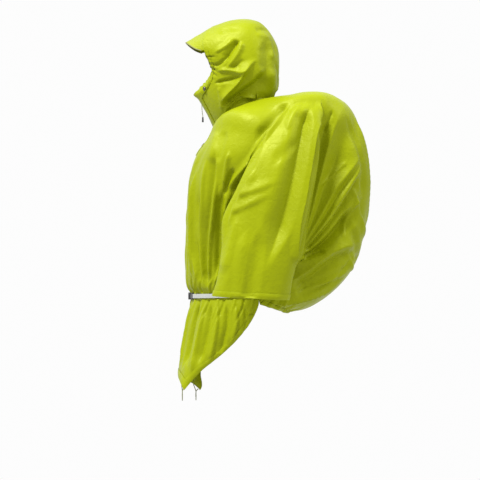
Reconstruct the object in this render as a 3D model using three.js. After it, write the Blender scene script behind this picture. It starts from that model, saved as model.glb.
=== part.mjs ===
// Hooded rain poncho with wide half sleeves and a full, rounded back, hanging with its belt closed.
// Millimetres. +Z is up, the front faces -Y and the left side is +X.
// The origin is the middle of the neck base, on the line of the shoulders.
import * as THREE from 'three';

// Driving dimensions
const cloth = { wall: 1.6, seamGap: 0.36, sharpestSeam: 0.35 };
const flap = { wall: 1.5, lift: 3, collarLift: 4.5, halfWidth: 27, tabHalfWidth: 76, farStrips: 3, nearStrips: 4,
  columns: 9 };
const flapNarrows = { fromRow: 2, toRow: 5 };
const webbing = { height: 13, thickness: 1.8, lift: 4.6, edgeInset: 0.5, shortestStep: 6 };
const buckle = { height: 21, plugHeight: 19, depth: 9, socketStart: -27, split: 5, plugEnd: 27, gap: 0.35,
  corner: 4, stand: 2.8 };
const slider = { height: 19, depth: 6, length: 10, holeHeight: 13.9, holeDepth: 2.5, x: 47 };
const stud = { radius: 6, height: 2.6, lift: 1, sides: 16 };
const eyelet = { outer: 5, inner: 2.4, height: 1.6, lift: 1.4, x: -42, sides: 16 };
const cord = { diameter: 3, gap: 0.35, endTopRadius: 2.2, endRadius: 2.8, endLength: 15, sides: 8, steps: 24 };
const hemLoop = { diameter: 2.6, drop: 36, halfWidth: 5.3, gap: 1.7, inset: 1.6, straighten: 8, steps: 26 };
const farCorner = { back: 45, down: 9, startZ: -750 };

// Colours
const clothColour = 0xb9cc1c;
const webbingColour = 0xb4b6b0;
const plasticColour = 0x1d1e1f;
const metalColour = 0x55544a;
const cordColour = 0x4a4b40;
const loopColour = 0x5c5f2a;

// Number of cloth cells between named stations
const neckFrontCells = [3, 3, 3];
const neckBackCells = [4, 4];
const shoulderCells = 6;
const neckFrontCount = neckFrontCells.reduce((sum, count) => sum + count);
const neckBackCount = neckBackCells.reduce((sum, count) => sum + count);
const hoodCells = neckFrontCount + neckBackCount;
const frontCells = neckFrontCount + shoulderCells;
const backCells = neckBackCount + shoulderCells;

// Hood and stand collar: one row for each ring, from the neck seam up to the face opening.
// front and top are [y, z] on the middle line, the others are [x, y, z] on the left side.
const hoodRings = [
  { front: [-99, -34], chin: [55, -77, -9], cheek: [87, -38, 24], temple: [83, 22, 51],
    crown: [56, 53, 57], top: [77, 60], steps: 0 },
  { front: [-112, -3], chin: [57, -90, 14], cheek: [94, -46, 42], temple: [98, 24, 76],
    crown: [62, 70, 84], top: [86, 91], steps: 2 },
  { front: [-124, 20], chin: [60, -101, 38], cheek: [99, -54, 74], temple: [108, 18, 118],
    crown: [72, 78, 130], top: [92, 140], steps: 2 },
  { front: [-137, 43], chin: [58, -112, 60], cheek: [100, -67, 104], temple: [112, -4, 160],
    crown: [77, 66, 197], top: [86, 216], steps: 2 },
  { front: [-148, 60], chin: [53, -121, 77], cheek: [92, -84, 120], temple: [108, -38, 186],
    crown: [76, 13, 264], top: [33, 287], steps: 2 },
  { front: [-156, 68], chin: [45, -128, 90], cheek: [81, -99, 130], temple: [98, -84, 196],
    crown: [66, -52, 270], top: [-46, 293], steps: 2 },
  { front: [-160, 72], chin: [32, -128, 100], cheek: [68, -106, 140], temple: [80, -130, 200],
    crown: [58, -126, 247], top: [-108, 273], steps: 2 },
];

// Peak: outer edge from the temple to the middle, as [x, y, z]
const brimEdge = [[79, -139, 198], [72, -156, 204], [54, -172, 214], [30, -182, 222], [0, -186, 226]];
const brimSteps = 4;

// Front panel: one row for each section below the neck and shoulder seam.
// centre is [y, z] on the middle line, edge is [x, y, z] on the left edge, width is the half width
// where the section turns the side, square is its fullness and rise lifts it over the shoulder.
const frontSections = [
  { centre: [-106, -52], edge: [200, 68, -34], width: 196, square: 2.0, rise: 58, steps: 2 },
  { centre: [-121, -73], edge: [206, 42, -76], width: 203, square: 2.1, rise: 28, steps: 2 },
  { centre: [-154, -114], edge: [205, 12, -129], width: 205, square: 2.2, rise: 6, steps: 2 },
  { centre: [-174, -180], edge: [197, 34, -198], width: 196, square: 2.4, rise: 0, steps: 2 },
  { centre: [-181, -265], edge: [188, 60, -270], width: 190, square: 2.6, rise: 0, steps: 2 },
  { centre: [-182, -340], edge: [186, 103, -345], width: 184, square: 2.6, rise: 0, steps: 2 },
  { centre: [-185, -415], edge: [183, 149, -420], width: 180, square: 2.6, rise: 0, steps: 2 },
  { centre: [-185, -465], edge: [176, 100, -465], width: 174, square: 2.5, rise: 0, steps: 2 },
  { centre: [-179, -505], edge: [168, 42, -505], width: 168, square: 2.3, rise: 0, steps: 2 },
  { centre: [-168, -525], edge: [165, 33, -519], width: 164, square: 2.2, rise: 0, steps: 1 },
  { centre: [-168, -543], edge: [165, 32, -537], width: 164, square: 2.2, rise: 0, steps: 1 },
  { centre: [-172, -561], edge: [168, 31, -559], width: 169, square: 2.2, rise: 0, steps: 1 },
  { centre: [-183, -612], edge: [168, 0, -621], width: 171, square: 2.3, rise: 0, steps: 2 },
  { centre: [-196, -682], edge: [155, -67, -695], width: 158, square: 2.3, rise: 0, steps: 2 },
  { centre: [-206, -738], edge: [140, -142, -757], width: 143, square: 2.2, rise: 0, steps: 2 },
  { centre: [-208, -772], edge: [125, -190, -812], width: 126, square: 2.0, rise: 0, steps: 2 },
];

// Back panel: the same columns. Its rows fan out from the underarm point round the full back.
const backSections = [
  { centre: [120, 66], edge: [182, 132, 30], width: 176, square: 3.0, rise: 2, steps: 2 },
  { centre: [178, 76], edge: [172, 178, 42], width: 168, square: 3.4, rise: 0, steps: 2 },
  { centre: [240, 71], edge: [170, 214, 32], width: 166, square: 3.2, rise: 0, steps: 2 },
  { centre: [300, 34], edge: [178, 208, -20], width: 166, square: 3.2, rise: 0, steps: 2 },
  { centre: [337, -40], edge: [185, 200, -110], width: 166, square: 3.4, rise: 0, steps: 2 },
  { centre: [354, -115], edge: [188, 190, -200], width: 167, square: 3.6, rise: 0, steps: 2 },
  { centre: [359, -190], edge: [188, 178, -275], width: 168, square: 3.6, rise: 0, steps: 3 },
  { centre: [355, -270], edge: [187, 167, -338], width: 168, square: 3.6, rise: 0, steps: 3 },
  { centre: [345, -350], edge: [185, 157, -388], width: 167, square: 3.5, rise: 0, steps: 2 },
  { centre: [327, -420], edge: [183, 149, -420], width: 166, square: 3.4, rise: 0, steps: 2 },
  { centre: [297, -473], edge: [176, 100, -465], width: 164, square: 3.2, rise: 0, steps: 2 },
  { centre: [244, -528], edge: [168, 42, -505], width: 162, square: 3.0, rise: 0, steps: 2 },
  { centre: [180, -567], edge: [166, 53, -532], width: 162, square: 3.0, rise: 0, steps: 1 },
  { centre: [110, -580], edge: [165, 35, -557], width: 162, square: 3.0, rise: 0, steps: 1 },
];

// The section that each of these lies on, counted from the top of its panel
const onSection = { flapEnd: 3, frontUnderarm: 7, sideSeamEnd: 9, belt: 10, backUnderarm: 10 };
const rowOf = (sections, count) => sections.slice(0, count).reduce((sum, section) => sum + section.steps, 0);
const flapEndRow = rowOf(frontSections, onSection.flapEnd);
const underarmRow = rowOf(frontSections, onSection.frontUnderarm);
const sideSeamRows = rowOf(frontSections, onSection.sideSeamEnd) - underarmRow;
const beltRow = rowOf(frontSections, onSection.belt);
const backUnderarmRow = rowOf(backSections, onSection.backUnderarm);

// Shoulder seam from the neck out to the armhole, and the belt where it passes inside the back
const shoulderKnots = [[120, 46, 46], [156, 66, 28], [190, 84, 0]];
const beltBackKnots = [[166.2, 42], [153, 63], [118, 83], [62, 93], [0, 95]];
const beltBackSteps = [3, 3, 3, 3, 3];

// Route of the hood cord, from the eyelet down to its end
const cordRoute = [[-42.7, -131.5, 88.1], [-44.7, -134.8, 88.8], [-47, -137, 68], [-48, -139, 58],
  [-48, -139.5, 44], [-47.6, -139, 30], [-47, -137.5, 16], [-46.5, -136, 4]];

// Sleeve: one row for each ring below the armhole, as [x, y, z] on the left side
const sleeveRings = [
  { shoulder: [222, 74, -40], ridge: [238, 36, -98], front: [226, -6, -165], inner: [203, 56, -276],
    rearInner: [201, 147, -427], rear: [213, 180, -283], rearTop: [210, 207, -48], top: [208, 167, 14],
    steps: 2 },
  { shoulder: [255, 55, -105], ridge: [262, 10, -165], front: [240, -37, -230], inner: [214, 48, -300],
    rearInner: [208, 136, -443], rear: [228, 171, -315], rearTop: [234, 192, -130], top: [244, 148, -60],
    steps: 2 },
  { shoulder: [282, 32, -205], ridge: [279, -20, -262], front: [247, -74, -306], inner: [216, 38, -345],
    rearInner: [214, 126, -462], rear: [242, 160, -355], rearTop: [256, 172, -235], top: [276, 122, -170],
    steps: 2 },
  { shoulder: [297, 8, -325], ridge: [288, -44, -368], front: [250, -77, -390], inner: [216, 25, -405],
    rearInner: [217, 112, -487], rear: [250, 146, -415], rearTop: [272, 148, -340], top: [294, 92, -300],
    steps: 2 },
  { shoulder: [303, -12, -440], ridge: [291, -62, -460], front: [251, -87, -465], inner: [217, 8, -475],
    rearInner: [219, 98, -515], rear: [252, 131, -480], rearTop: [282, 118, -445], top: [302, 62, -425],
    steps: 2 },
  { shoulder: [301, -28, -536], ridge: [284, -80, -533], front: [250, -104, -531], inner: [218, -12, -534],
    rearInner: [222, 84, -540], rear: [250, 119, -542], rearTop: [284, 92, -542], top: [303, 35, -539],
    steps: 2 },
];
const sleeveCells = [3, 3, 4, 4, 7, 7, 4, 4];

// Folds, each along a line of the cloth's own grid. at is where it lies across the other lines,
// from its start to its end, between the places from and to. depth is outward for a ridge and
// negative for a trough, and reach is half its width in cells.
const folds = [
  { on: 'back_panel', line: 'row', at: [9, 9], from: 5, to: 14, depth: 4, reach: 1 },
  { on: 'back_panel', line: 'row', at: [10, 10], from: 6, to: 14, depth: -7, reach: 1 },
  { on: 'back_panel', line: 'row', at: [11, 11], from: 5, to: 14, depth: 5, reach: 1 },
  { on: 'back_panel', line: 'row', at: [12, 12], from: 4, to: 14, depth: -10, reach: 1 },
  { on: 'back_panel', line: 'row', at: [13, 13], from: 4, to: 14, depth: 6, reach: 1 },
  { on: 'back_panel', line: 'row', at: [14, 14], from: 6, to: 14, depth: -8, reach: 1 },
  { on: 'back_panel', line: 'row', at: [15, 15], from: 3, to: 14, depth: 7, reach: 1 },
  { on: 'back_panel', line: 'row', at: [16, 16], from: 5, to: 14, depth: -10, reach: 1 },
  { on: 'back_panel', line: 'row', at: [17, 17], from: 6, to: 14, depth: 5, reach: 1 },
  { on: 'back_panel', line: 'row', at: [18, 18], from: 4, to: 14, depth: -9, reach: 1 },
  { on: 'back_panel', line: 'row', at: [19, 19], from: 4, to: 14, depth: 7, reach: 1 },
  { on: 'back_panel', line: 'row', at: [20, 20], from: 6, to: 14, depth: -8, reach: 1 },
  { on: 'back_panel', line: 'row', at: [21, 21], from: 3, to: 14, depth: 5, reach: 1 },
  { on: 'back_panel', line: 'row', at: [23, 23], from: 5, to: 13, depth: -6, reach: 1 },
  { on: 'back_panel', line: 'column', at: [11, 12], from: 5, to: 13, depth: -6, reach: 1.4 },
  { on: 'back_panel', line: 'column', at: [3, 4], from: 10, to: 22, depth: -5, reach: 1.6 },
  { on: 'sleeve', line: 'column', at: [31.5, 35], from: 0, to: 12, depth: -13, reach: 2 },
  { on: 'sleeve', line: 'column', at: [29.2, 30], from: 1, to: 13, depth: 7, reach: 1.6 },
  { on: 'sleeve', line: 'column', at: [0.6, 1.8], from: 1, to: 10, depth: -7, reach: 1.5 },
  { on: 'sleeve', line: 'column', at: [3.5, 3.2], from: 3, to: 13, depth: 5, reach: 1.4 },
  { on: 'sleeve', line: 'column', at: [24, 24.5], from: 2, to: 13, depth: -6, reach: 1.5 },
  { on: 'front_panel', line: 'column', at: [2, 2], from: 8, to: 18, depth: 4, reach: 1 },
  { on: 'front_panel', line: 'column', at: [3, 3], from: 7, to: 18, depth: -5, reach: 1 },
  { on: 'front_panel', line: 'column', at: [5, 5], from: 6, to: 18, depth: 5, reach: 1 },
  { on: 'front_panel', line: 'column', at: [6, 6], from: 9, to: 18, depth: -6, reach: 1 },
  { on: 'front_panel', line: 'column', at: [7, 7], from: 6, to: 18, depth: 6, reach: 1 },
  { on: 'front_panel', line: 'column', at: [8, 8], from: 5, to: 18, depth: -9, reach: 1 },
  { on: 'front_panel', line: 'column', at: [9, 9], from: 7, to: 18, depth: 6, reach: 1 },
  { on: 'front_panel', line: 'column', at: [10, 10], from: 7, to: 18, depth: -8, reach: 1 },
  { on: 'front_panel', line: 'column', at: [12, 12], from: 9, to: 18, depth: -6, reach: 1 },
  { on: 'front_panel', line: 'column', at: [2, 2], from: 21, to: 31, depth: -6, reach: 1 },
  { on: 'front_panel', line: 'column', at: [4, 4], from: 21, to: 30, depth: 6, reach: 1 },
  { on: 'front_panel', line: 'column', at: [5, 5], from: 21, to: 29, depth: -5, reach: 1 },
  { on: 'front_panel', line: 'column', at: [6, 6], from: 21, to: 31, depth: 5, reach: 1 },
  { on: 'front_panel', line: 'column', at: [7, 7], from: 21, to: 31, depth: -8, reach: 1 },
  { on: 'front_panel', line: 'column', at: [9, 9], from: 21, to: 30, depth: 6, reach: 1 },
  { on: 'front_panel', line: 'column', at: [10, 10], from: 21, to: 30, depth: -7, reach: 1 },
  { on: 'front_panel', line: 'column', at: [12, 12], from: 21, to: 28, depth: -5, reach: 1 },
  { on: 'hood', line: 'row', at: [3, 3.6], from: 2, to: 12, depth: -10, reach: 1.2 },
  { on: 'hood', line: 'row', at: [4.6, 5.2], from: 2, to: 10, depth: 6, reach: 1.1 },
  { on: 'hood', line: 'row', at: [6, 7], from: 4, to: 11, depth: -6, reach: 1.1 },
  { on: 'hood', line: 'row', at: [1, 1.8], from: 7, to: 16, depth: 4, reach: 1.1 },
  { on: 'hood', line: 'column', at: [10, 7], from: 6, to: 13, depth: 6, reach: 1.2 },
  { on: 'hood', line: 'column', at: [11.6, 8.4], from: 5, to: 12, depth: -6, reach: 1.2 },
  { on: 'hood', line: 'column', at: [6, 5], from: 8, to: 13, depth: -5, reach: 1 },
  { on: 'hood', line: 'column', at: [15, 14], from: 2, to: 9, depth: -4, reach: 1.4 },
];
const farSideFolds = 0.85;

// Small geometry helpers
const vector = (point) => new THREE.Vector3(...point);
const onMiddle = ([y, z]) => new THREE.Vector3(0, y, z);
const mirrored = (point) => new THREE.Vector3(-point.x, point.y, point.z);
const smoothStep = (value, low, high) => THREE.MathUtils.smoothstep(value, low, high);

// Points along a smooth curve through the knots, with counts[i] cells between two knots
function through(knots, counts, closed = false) {
  const curve = new THREE.CatmullRomCurve3(knots, closed, 'centripetal');
  const spans = closed ? knots.length : knots.length - 1;
  const points = [];
  for (let span = 0; span < spans; span += 1) {
    for (let cell = 0; cell < counts[span]; cell += 1) {
      points.push(curve.getPoint((span + cell / counts[span]) / spans));
    }
  }
  if (!closed) points.push(knots[knots.length - 1].clone());
  return points;
}

// Equal steps along a polyline
function evenSteps(dense, cells) {
  const lengths = [0];
  for (let i = 1; i < dense.length; i += 1) {
    lengths.push(lengths[i - 1] + dense[i].distanceTo(dense[i - 1]));
  }
  const total = lengths[lengths.length - 1];
  const points = [];
  let at = 0;
  for (let cell = 0; cell <= cells; cell += 1) {
    const target = (total * cell) / cells;
    while (at < dense.length - 2 && lengths[at + 1] < target) at += 1;
    const part = (target - lengths[at]) / (lengths[at + 1] - lengths[at]);
    points.push(dense[at].clone().lerp(dense[at + 1], part));
  }
  return points;
}

// Half a trunk section, from the middle line round to the edge seam
function halfSection(section, cells) {
  const dense = [];
  const fine = 64;
  const [edgeX, edgeY, edgeZ] = section.edge;
  for (let i = 0; i <= fine; i += 1) {
    const angle = (i / fine) * (Math.PI / 2);
    const along = Math.sin(angle) ** (2 / section.square);
    const turned = 1 - Math.cos(angle) ** (2 / section.square);
    const half = section.width + (edgeX - section.width) * turned ** 2;
    const y = THREE.MathUtils.lerp(section.centre[0], edgeY, turned);
    const lift = section.rise * Math.sin((i / fine) * Math.PI);
    const z = THREE.MathUtils.lerp(section.centre[1], edgeZ, turned) + lift;
    dense.push(new THREE.Vector3(half * along, y, z));
  }
  return evenSteps(dense, cells);
}

// Rows between given rows, column by column, on smooth curves
function fillRows(givenRows, steps) {
  const columns = givenRows[0].map((_, column) => through(givenRows.map((row) => row[column]), steps));
  return columns[0].map((_, row) => columns.map((points) => points[row]));
}

// A full row from the far side to the near side, made from the near half
const bothHalves = (half) => [...half.slice(1).reverse().map(mirrored), ...half];

// The near half of a ring that is smooth across both middles
function halfRing(ring) {
  const side = [ring.chin, ring.cheek, ring.temple, ring.crown].map(vector);
  const farSide = side.map(mirrored).reverse();
  const cells = [...neckFrontCells, ...neckBackCells];
  const knots = [onMiddle(ring.front), ...side, onMiddle(ring.top), ...farSide];
  return through(knots, [...cells, ...cells.slice().reverse()], true).slice(0, hoodCells + 1);
}

// Base forms, before the folds
const hoodHalf = fillRows(hoodRings.map(halfRing), hoodRings.slice(1).map((ring) => ring.steps));
const neckRing = hoodHalf[0];
const shoulderSeam = through(
  [neckRing[neckFrontCount], ...shoulderKnots.map(vector)],
  shoulderKnots.map(() => shoulderCells / shoulderKnots.length)).slice(1);
const frontTop = [...neckRing.slice(0, neckFrontCount + 1), ...shoulderSeam];
const backTop = [...neckRing.slice(neckFrontCount).reverse(), ...shoulderSeam];

const frontHalf = fillRows(
  [frontTop, ...frontSections.map((section) => halfSection(section, frontCells))],
  frontSections.map((section) => section.steps));
const backHalf = fillRows(
  [backTop, ...backSections.map((section) => halfSection(section, backCells))],
  backSections.map((section) => section.steps));

// The side seam is shared, from the underarm point down to the waist
for (let step = 0; step <= sideSeamRows; step += 1) {
  backHalf[backUnderarmRow + step][backCells] = frontHalf[underarmRow + step][frontCells].clone();
}

// The armhole runs down the front panel's edge and back up the back panel's edge
const armhole = [];
for (let row = 0; row < underarmRow; row += 1) armhole.push(frontHalf[row][frontCells]);
for (let row = backUnderarmRow; row > 0; row -= 1) armhole.push(backHalf[row][backCells]);
const sleeveNames = ['shoulder', 'ridge', 'front', 'inner', 'rearInner', 'rear', 'rearTop', 'top'];
const sleeveLoops = sleeveRings.map(
  (ring) => through(sleeveNames.map((name) => vector(ring[name])), sleeveCells, true));
const sleeveHalf = fillRows([armhole, ...sleeveLoops], sleeveRings.map((ring) => ring.steps));

// The peak grows out of the upper part of the face opening
const brimInner = hoodHalf[hoodHalf.length - 1].slice(neckFrontCount);
const brimNear = brimEdge.map(vector);
const brimOuter = through([...brimNear, ...brimNear.slice(0, -1).reverse().map(mirrored)],
  brimEdge.slice(1).flatMap(() => [2, 2])).slice(0, neckBackCount + 1);
const brimHalf = fillRows([brimInner, brimOuter], [brimSteps]);

// Every cloth point is kept once, so that neighbouring pieces share their seams
const welded = [];
const weldBook = new Map();
function weldPoint(point) {
  const key = point.toArray().map((value) => Math.round(value * 50)).join(' ');
  if (!weldBook.has(key)) {
    weldBook.set(key, welded.length);
    welded.push(point.clone());
  }
  return weldBook.get(key);
}

const panels = [];
const foldHeights = [];

// Cells between two places across the fold lines, round the ring where the cloth is a tube
function cellsApart(a, b, around) {
  const apart = Math.abs(a - b);
  return around ? Math.min(apart, around - apart) : apart;
}

function foldHeight(fold, row, column, around) {
  const [along, across] = fold.line === 'row' ? [column, row] : [row, column];
  const share = (along - fold.from) / (fold.to - fold.from);
  if (share <= 0 || share >= 1) return 0;
  const centre = THREE.MathUtils.lerp(fold.at[0], fold.at[1], share);
  const spread = cellsApart(across, centre, fold.line === 'column' ? around : 0) / fold.reach;
  if (spread >= 1) return 0;
  const fade = smoothStep(share, 0, 0.3) * (1 - smoothStep(share, 0.75, 1));
  return fold.depth * (1 - spread * spread) ** 2 * fade;
}

// A piece of cloth as rows of shared points. place gives the row and column that folds are set out on.
function addPanel(name, family, rows, place, closed = false) {
  const around = closed ? rows[0].length : 0;
  const own = folds.filter((fold) => fold.on === family);
  const grid = rows.map((points, rowAt) => points.map((point, columnAt) => {
    const index = weldPoint(point);
    const [row, column] = place(rowAt, columnAt);
    const share = point.x < 0 ? farSideFolds : 1;
    const height = own.reduce((sum, fold) => sum + foldHeight(fold, row, column, around), 0) * share;
    if (Math.abs(height) > Math.abs(foldHeights[index] ?? 0)) foldHeights[index] = height;
    return index;
  }));
  panels.push({ name, family, closed, grid });
}

const mirroredRows = (rows) => rows.map((row) => row.map(mirrored));
const reversedRows = (rows) => rows.map((row) => row.slice().reverse());
const hoodDown = hoodHalf.slice().reverse();
const lastSleeveColumn = armhole.length - 1;
addPanel('front_panel', 'front_panel', frontHalf.map(bothHalves),
  (row, column) => [row, Math.abs(column - frontCells)]);
addPanel('back_panel', 'back_panel', reversedRows(backHalf.map(bothHalves)),
  (row, column) => [row, Math.abs(column - backCells)]);
addPanel('sleeve_left', 'sleeve', reversedRows(sleeveHalf),
  (row, column) => [row, lastSleeveColumn - column], true);
addPanel('sleeve_right', 'sleeve', mirroredRows(sleeveHalf), (row, column) => [row, column], true);
addPanel('hood_left', 'hood', hoodDown, (row, column) => [hoodDown.length - 1 - row, column]);
addPanel('hood_right', 'hood', reversedRows(mirroredRows(hoodDown)),
  (row, column) => [hoodDown.length - 1 - row, hoodCells - column]);
addPanel('brim', 'brim', reversedRows(brimHalf).map(bothHalves), (row, column) => [row, column]);

function faceNormals(points, grid, closed, visit) {
  const columns = grid[0].length;
  const lastColumn = closed ? columns : columns - 1;
  for (let row = 0; row < grid.length - 1; row += 1) {
    for (let column = 0; column < lastColumn; column += 1) {
      const next = (column + 1) % columns;
      const corners = [grid[row][column], grid[row][next], grid[row + 1][next], grid[row + 1][column]];
      const acrossA = points[corners[2]].clone().sub(points[corners[0]]);
      const acrossB = points[corners[3]].clone().sub(points[corners[1]]);
      visit(corners, acrossB.cross(acrossA));
    }
  }
}

function pointNormals(points, chosen) {
  const normals = points.map(() => new THREE.Vector3());
  for (const panel of chosen) {
    faceNormals(points, panel.grid, panel.closed, (corners, normal) => {
      for (const corner of corners) normals[corner].add(normal);
    });
  }
  for (const normal of normals) normal.normalize();
  return normals;
}

// Push the cloth out into its folds, and swing the far lower corner back
const baseNormals = pointNormals(welded, panels);
const hemCorner = vector(frontSections[frontSections.length - 1].edge);
const folded = welded.map((point, index) => {
  const moved = point.clone().addScaledVector(baseNormals[index], foldHeights[index] ?? 0);
  if (point.x < 0 && point.z < farCorner.startZ) {
    const swing = smoothStep(-point.z, -farCorner.startZ, -hemCorner.z) * Math.min(1, -point.x / hemCorner.x);
    moved.y += farCorner.back * swing;
    moved.z -= farCorner.down * swing;
  }
  return moved;
});
const seamNormals = pointNormals(folded, panels);

// A closed body from two matching grids of points: the outer face, the inner face and their rims
function closedSheet(outer, inner, closed = false) {
  const rows = outer.length;
  const columns = outer[0].length;
  const positions = [];
  for (const side of [outer, inner]) {
    for (const row of side) {
      for (const point of row) positions.push(point.x, point.y, point.z);
    }
  }
  const outerAt = (row, column) => row * columns + (column % columns);
  const innerAt = (row, column) => rows * columns + outerAt(row, column);
  const index = [];
  const quad = (a, b, c, d) => index.push(a, b, c, a, c, d);
  const lastColumn = closed ? columns : columns - 1;
  for (let row = 0; row < rows - 1; row += 1) {
    for (let column = 0; column < lastColumn; column += 1) {
      const [down, across] = [row + 1, column + 1];
      quad(outerAt(row, column), outerAt(down, column), outerAt(down, across), outerAt(row, across));
      quad(innerAt(row, column), innerAt(row, across), innerAt(down, across), innerAt(down, column));
    }
  }
  for (let column = 0; column < lastColumn; column += 1) {
    quad(outerAt(0, column), outerAt(0, column + 1), innerAt(0, column + 1), innerAt(0, column));
    quad(outerAt(rows - 1, column + 1), outerAt(rows - 1, column), innerAt(rows - 1, column),
      innerAt(rows - 1, column + 1));
  }
  if (!closed) {
    for (let row = 0; row < rows - 1; row += 1) {
      quad(outerAt(row + 1, 0), outerAt(row, 0), innerAt(row, 0), innerAt(row + 1, 0));
      quad(outerAt(row, columns - 1), outerAt(row + 1, columns - 1), innerAt(row + 1, columns - 1),
        innerAt(row, columns - 1));
    }
  }
  const geometry = new THREE.BufferGeometry();
  geometry.setAttribute('position', new THREE.Float32BufferAttribute(positions, 3));
  geometry.setIndex(index);
  geometry.computeVertexNormals();
  return geometry;
}

// Where an edge point of a panel is drawn back to, so that its wall clears its neighbour's
function drawnBack(panel, row, column, normal) {
  const { grid, closed } = panel;
  const rows = grid.length;
  const columns = grid[0].length;
  const at = (r, c) => folded[grid[THREE.MathUtils.clamp(r, 0, rows - 1)][closed ? (c + columns) % columns
    : THREE.MathUtils.clamp(c, 0, columns - 1)]];
  const middle = at(row, column).clone();
  const stepDown = row === 0 ? 1 : -(row === rows - 1);
  const stepAcross = closed ? 0 : (column === 0 ? 1 : -(column === columns - 1));
  const inward = new THREE.Vector3();
  for (const [down, across] of [[stepDown, 0], [0, stepAcross]]) {
    if (down === 0 && across === 0) continue;
    const seam = at(row + Math.abs(across), column + Math.abs(down))
      .clone().sub(at(row - Math.abs(across), column - Math.abs(down))).normalize();
    const away = at(row + down, column + across).clone().sub(middle);
    inward.add(away.addScaledVector(seam, -away.dot(seam)).normalize());
  }
  const level = Math.max(seamNormals[grid[row][column]].dot(normal), cloth.sharpestSeam);
  const lean = Math.sqrt(1 - Math.min(level, 1) ** 2) / level;
  return middle.addScaledVector(inward, (cloth.wall / 2) * lean + cloth.seamGap / 2 / level);
}

// The wall of a cloth panel: its edges drawn back, then thickened both ways
function panelWall(panel) {
  const own = pointNormals(folded, [panel]);
  const side = (sign) => panel.grid.map((row, rowAt) => row.map((index, columnAt) => drawnBack(
    panel, rowAt, columnAt, own[index]).addScaledVector(own[index], (sign * cloth.wall) / 2)));
  return closedSheet(side(1), side(-1), panel.closed);
}

const group = new THREE.Group();
const clothMaterial = new THREE.MeshStandardMaterial({ color: clothColour, roughness: 0.42, metalness: 0 });
const webbingMaterial = new THREE.MeshStandardMaterial({ color: webbingColour, roughness: 0.85, metalness: 0 });
const plasticMaterial = new THREE.MeshStandardMaterial({ color: plasticColour, roughness: 0.4, metalness: 0 });
const metalMaterial = new THREE.MeshStandardMaterial({ color: metalColour, roughness: 0.35, metalness: 0.9 });
const cordMaterial = new THREE.MeshStandardMaterial({ color: cordColour, roughness: 0.8, metalness: 0 });
const loopMaterial = new THREE.MeshStandardMaterial({ color: loopColour, roughness: 0.8, metalness: 0 });

function addMesh(name, geometry, material) {
  const mesh = new THREE.Mesh(geometry, material);
  mesh.name = name;
  group.add(mesh);
  return mesh;
}

for (const panel of panels) addMesh(panel.name, panelWall(panel), clothMaterial);
const panelNamed = (name) => panels.find((panel) => panel.name === name);

// A point and its normal where a row of cloth points crosses a given x
function crossing(row, x) {
  for (let i = 0; i < row.length - 1; i += 1) {
    const [a, b] = [folded[row[i]], folded[row[i + 1]]];
    if ((a.x - x) * (b.x - x) <= 0 && a.x !== b.x) {
      const part = (x - a.x) / (b.x - a.x);
      const normal = seamNormals[row[i]].clone().lerp(seamNormals[row[i + 1]], part).normalize();
      return { point: a.clone().lerp(b, part), normal };
    }
  }
  throw new Error(`no cloth at x ${x}`);
}

// Storm flap: lies over the closing, from the face opening down over the neck seam to the chest
const hoodLeftGrid = panelNamed('hood_left').grid;
const hoodRightGrid = panelNamed('hood_right').grid;
const frontGrid = panelNamed('front_panel').grid;
const hoodStripRows = hoodLeftGrid.map(
  (row, at) => [...hoodRightGrid[at].slice(-flap.columns - 1), ...row.slice(1, flap.columns + 1)]);
const flapRows = [...hoodStripRows, ...frontGrid.slice(1, flapEndRow + 1)];
const flapMiddle = flapRows.map((row, at) => {
  const narrowed = smoothStep(at, flapNarrows.fromRow, flapNarrows.toRow);
  const nearHalf = THREE.MathUtils.lerp(flap.tabHalfWidth, flap.halfWidth, narrowed);
  const lift = THREE.MathUtils.lerp(flap.collarLift, flap.lift, narrowed);
  const points = [];
  for (let strip = -flap.farStrips; strip <= flap.nearStrips; strip += 1) {
    const x = strip < 0 ? strip * flap.halfWidth / flap.farStrips : strip * nearHalf / flap.nearStrips;
    const { point, normal } = crossing(row, x);
    points.push({ point: point.addScaledVector(normal, lift), normal });
  }
  return points;
});
const offsetRows = (rows, offset) => rows.map(
  (row) => row.map(({ point, normal }) => point.clone().addScaledVector(normal, offset)));
const flapWall = closedSheet(offsetRows(flapMiddle, flap.wall / 2), offsetRows(flapMiddle, -flap.wall / 2));
addMesh('storm_flap', flapWall, clothMaterial);

// Press studs
function turnTo(mesh, point, normal) {
  mesh.position.copy(point);
  mesh.quaternion.setFromUnitVectors(new THREE.Vector3(0, 1, 0), normal);
}

function addStud(name, rowAt, strip) {
  const low = Math.floor(rowAt);
  const a = flapMiddle[low][strip];
  const b = flapMiddle[low + 1][strip];
  const normal = a.normal.clone().lerp(b.normal, rowAt - low).normalize();
  const point = a.point.clone().lerp(b.point, rowAt - low);
  const { radius, height, lift } = stud;
  const profile = [[0, 0], [radius, 0], [radius, height * 0.45], [radius * 0.72, height], [0, height]];
  const geometry = new THREE.LatheGeometry(profile.map(([x, y]) => new THREE.Vector2(x, y)), stud.sides);
  const mesh = addMesh(name, geometry, metalMaterial);
  turnTo(mesh, point.addScaledVector(normal, flap.wall / 2 + lift), normal);
}

addStud('snap_collar', 2.8, flap.farStrips + flap.nearStrips - 1);
addStud('snap_chest', hoodStripRows.length + 3.6, flap.farStrips);

// Waist belt: follows the front at the belt rows, then passes inside the back and round the waist
function beltStation(rowA, rowB, x) {
  const upper = crossing(rowA, x);
  const lower = crossing(rowB, x);
  const up = upper.point.clone().sub(lower.point).normalize();
  const out = upper.normal.clone().add(lower.normal);
  out.addScaledVector(up, -out.dot(up)).normalize();
  const centre = upper.point.clone().add(lower.point).multiplyScalar(0.5).addScaledVector(out, webbing.lift);
  return { centre, up, out };
}

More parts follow.
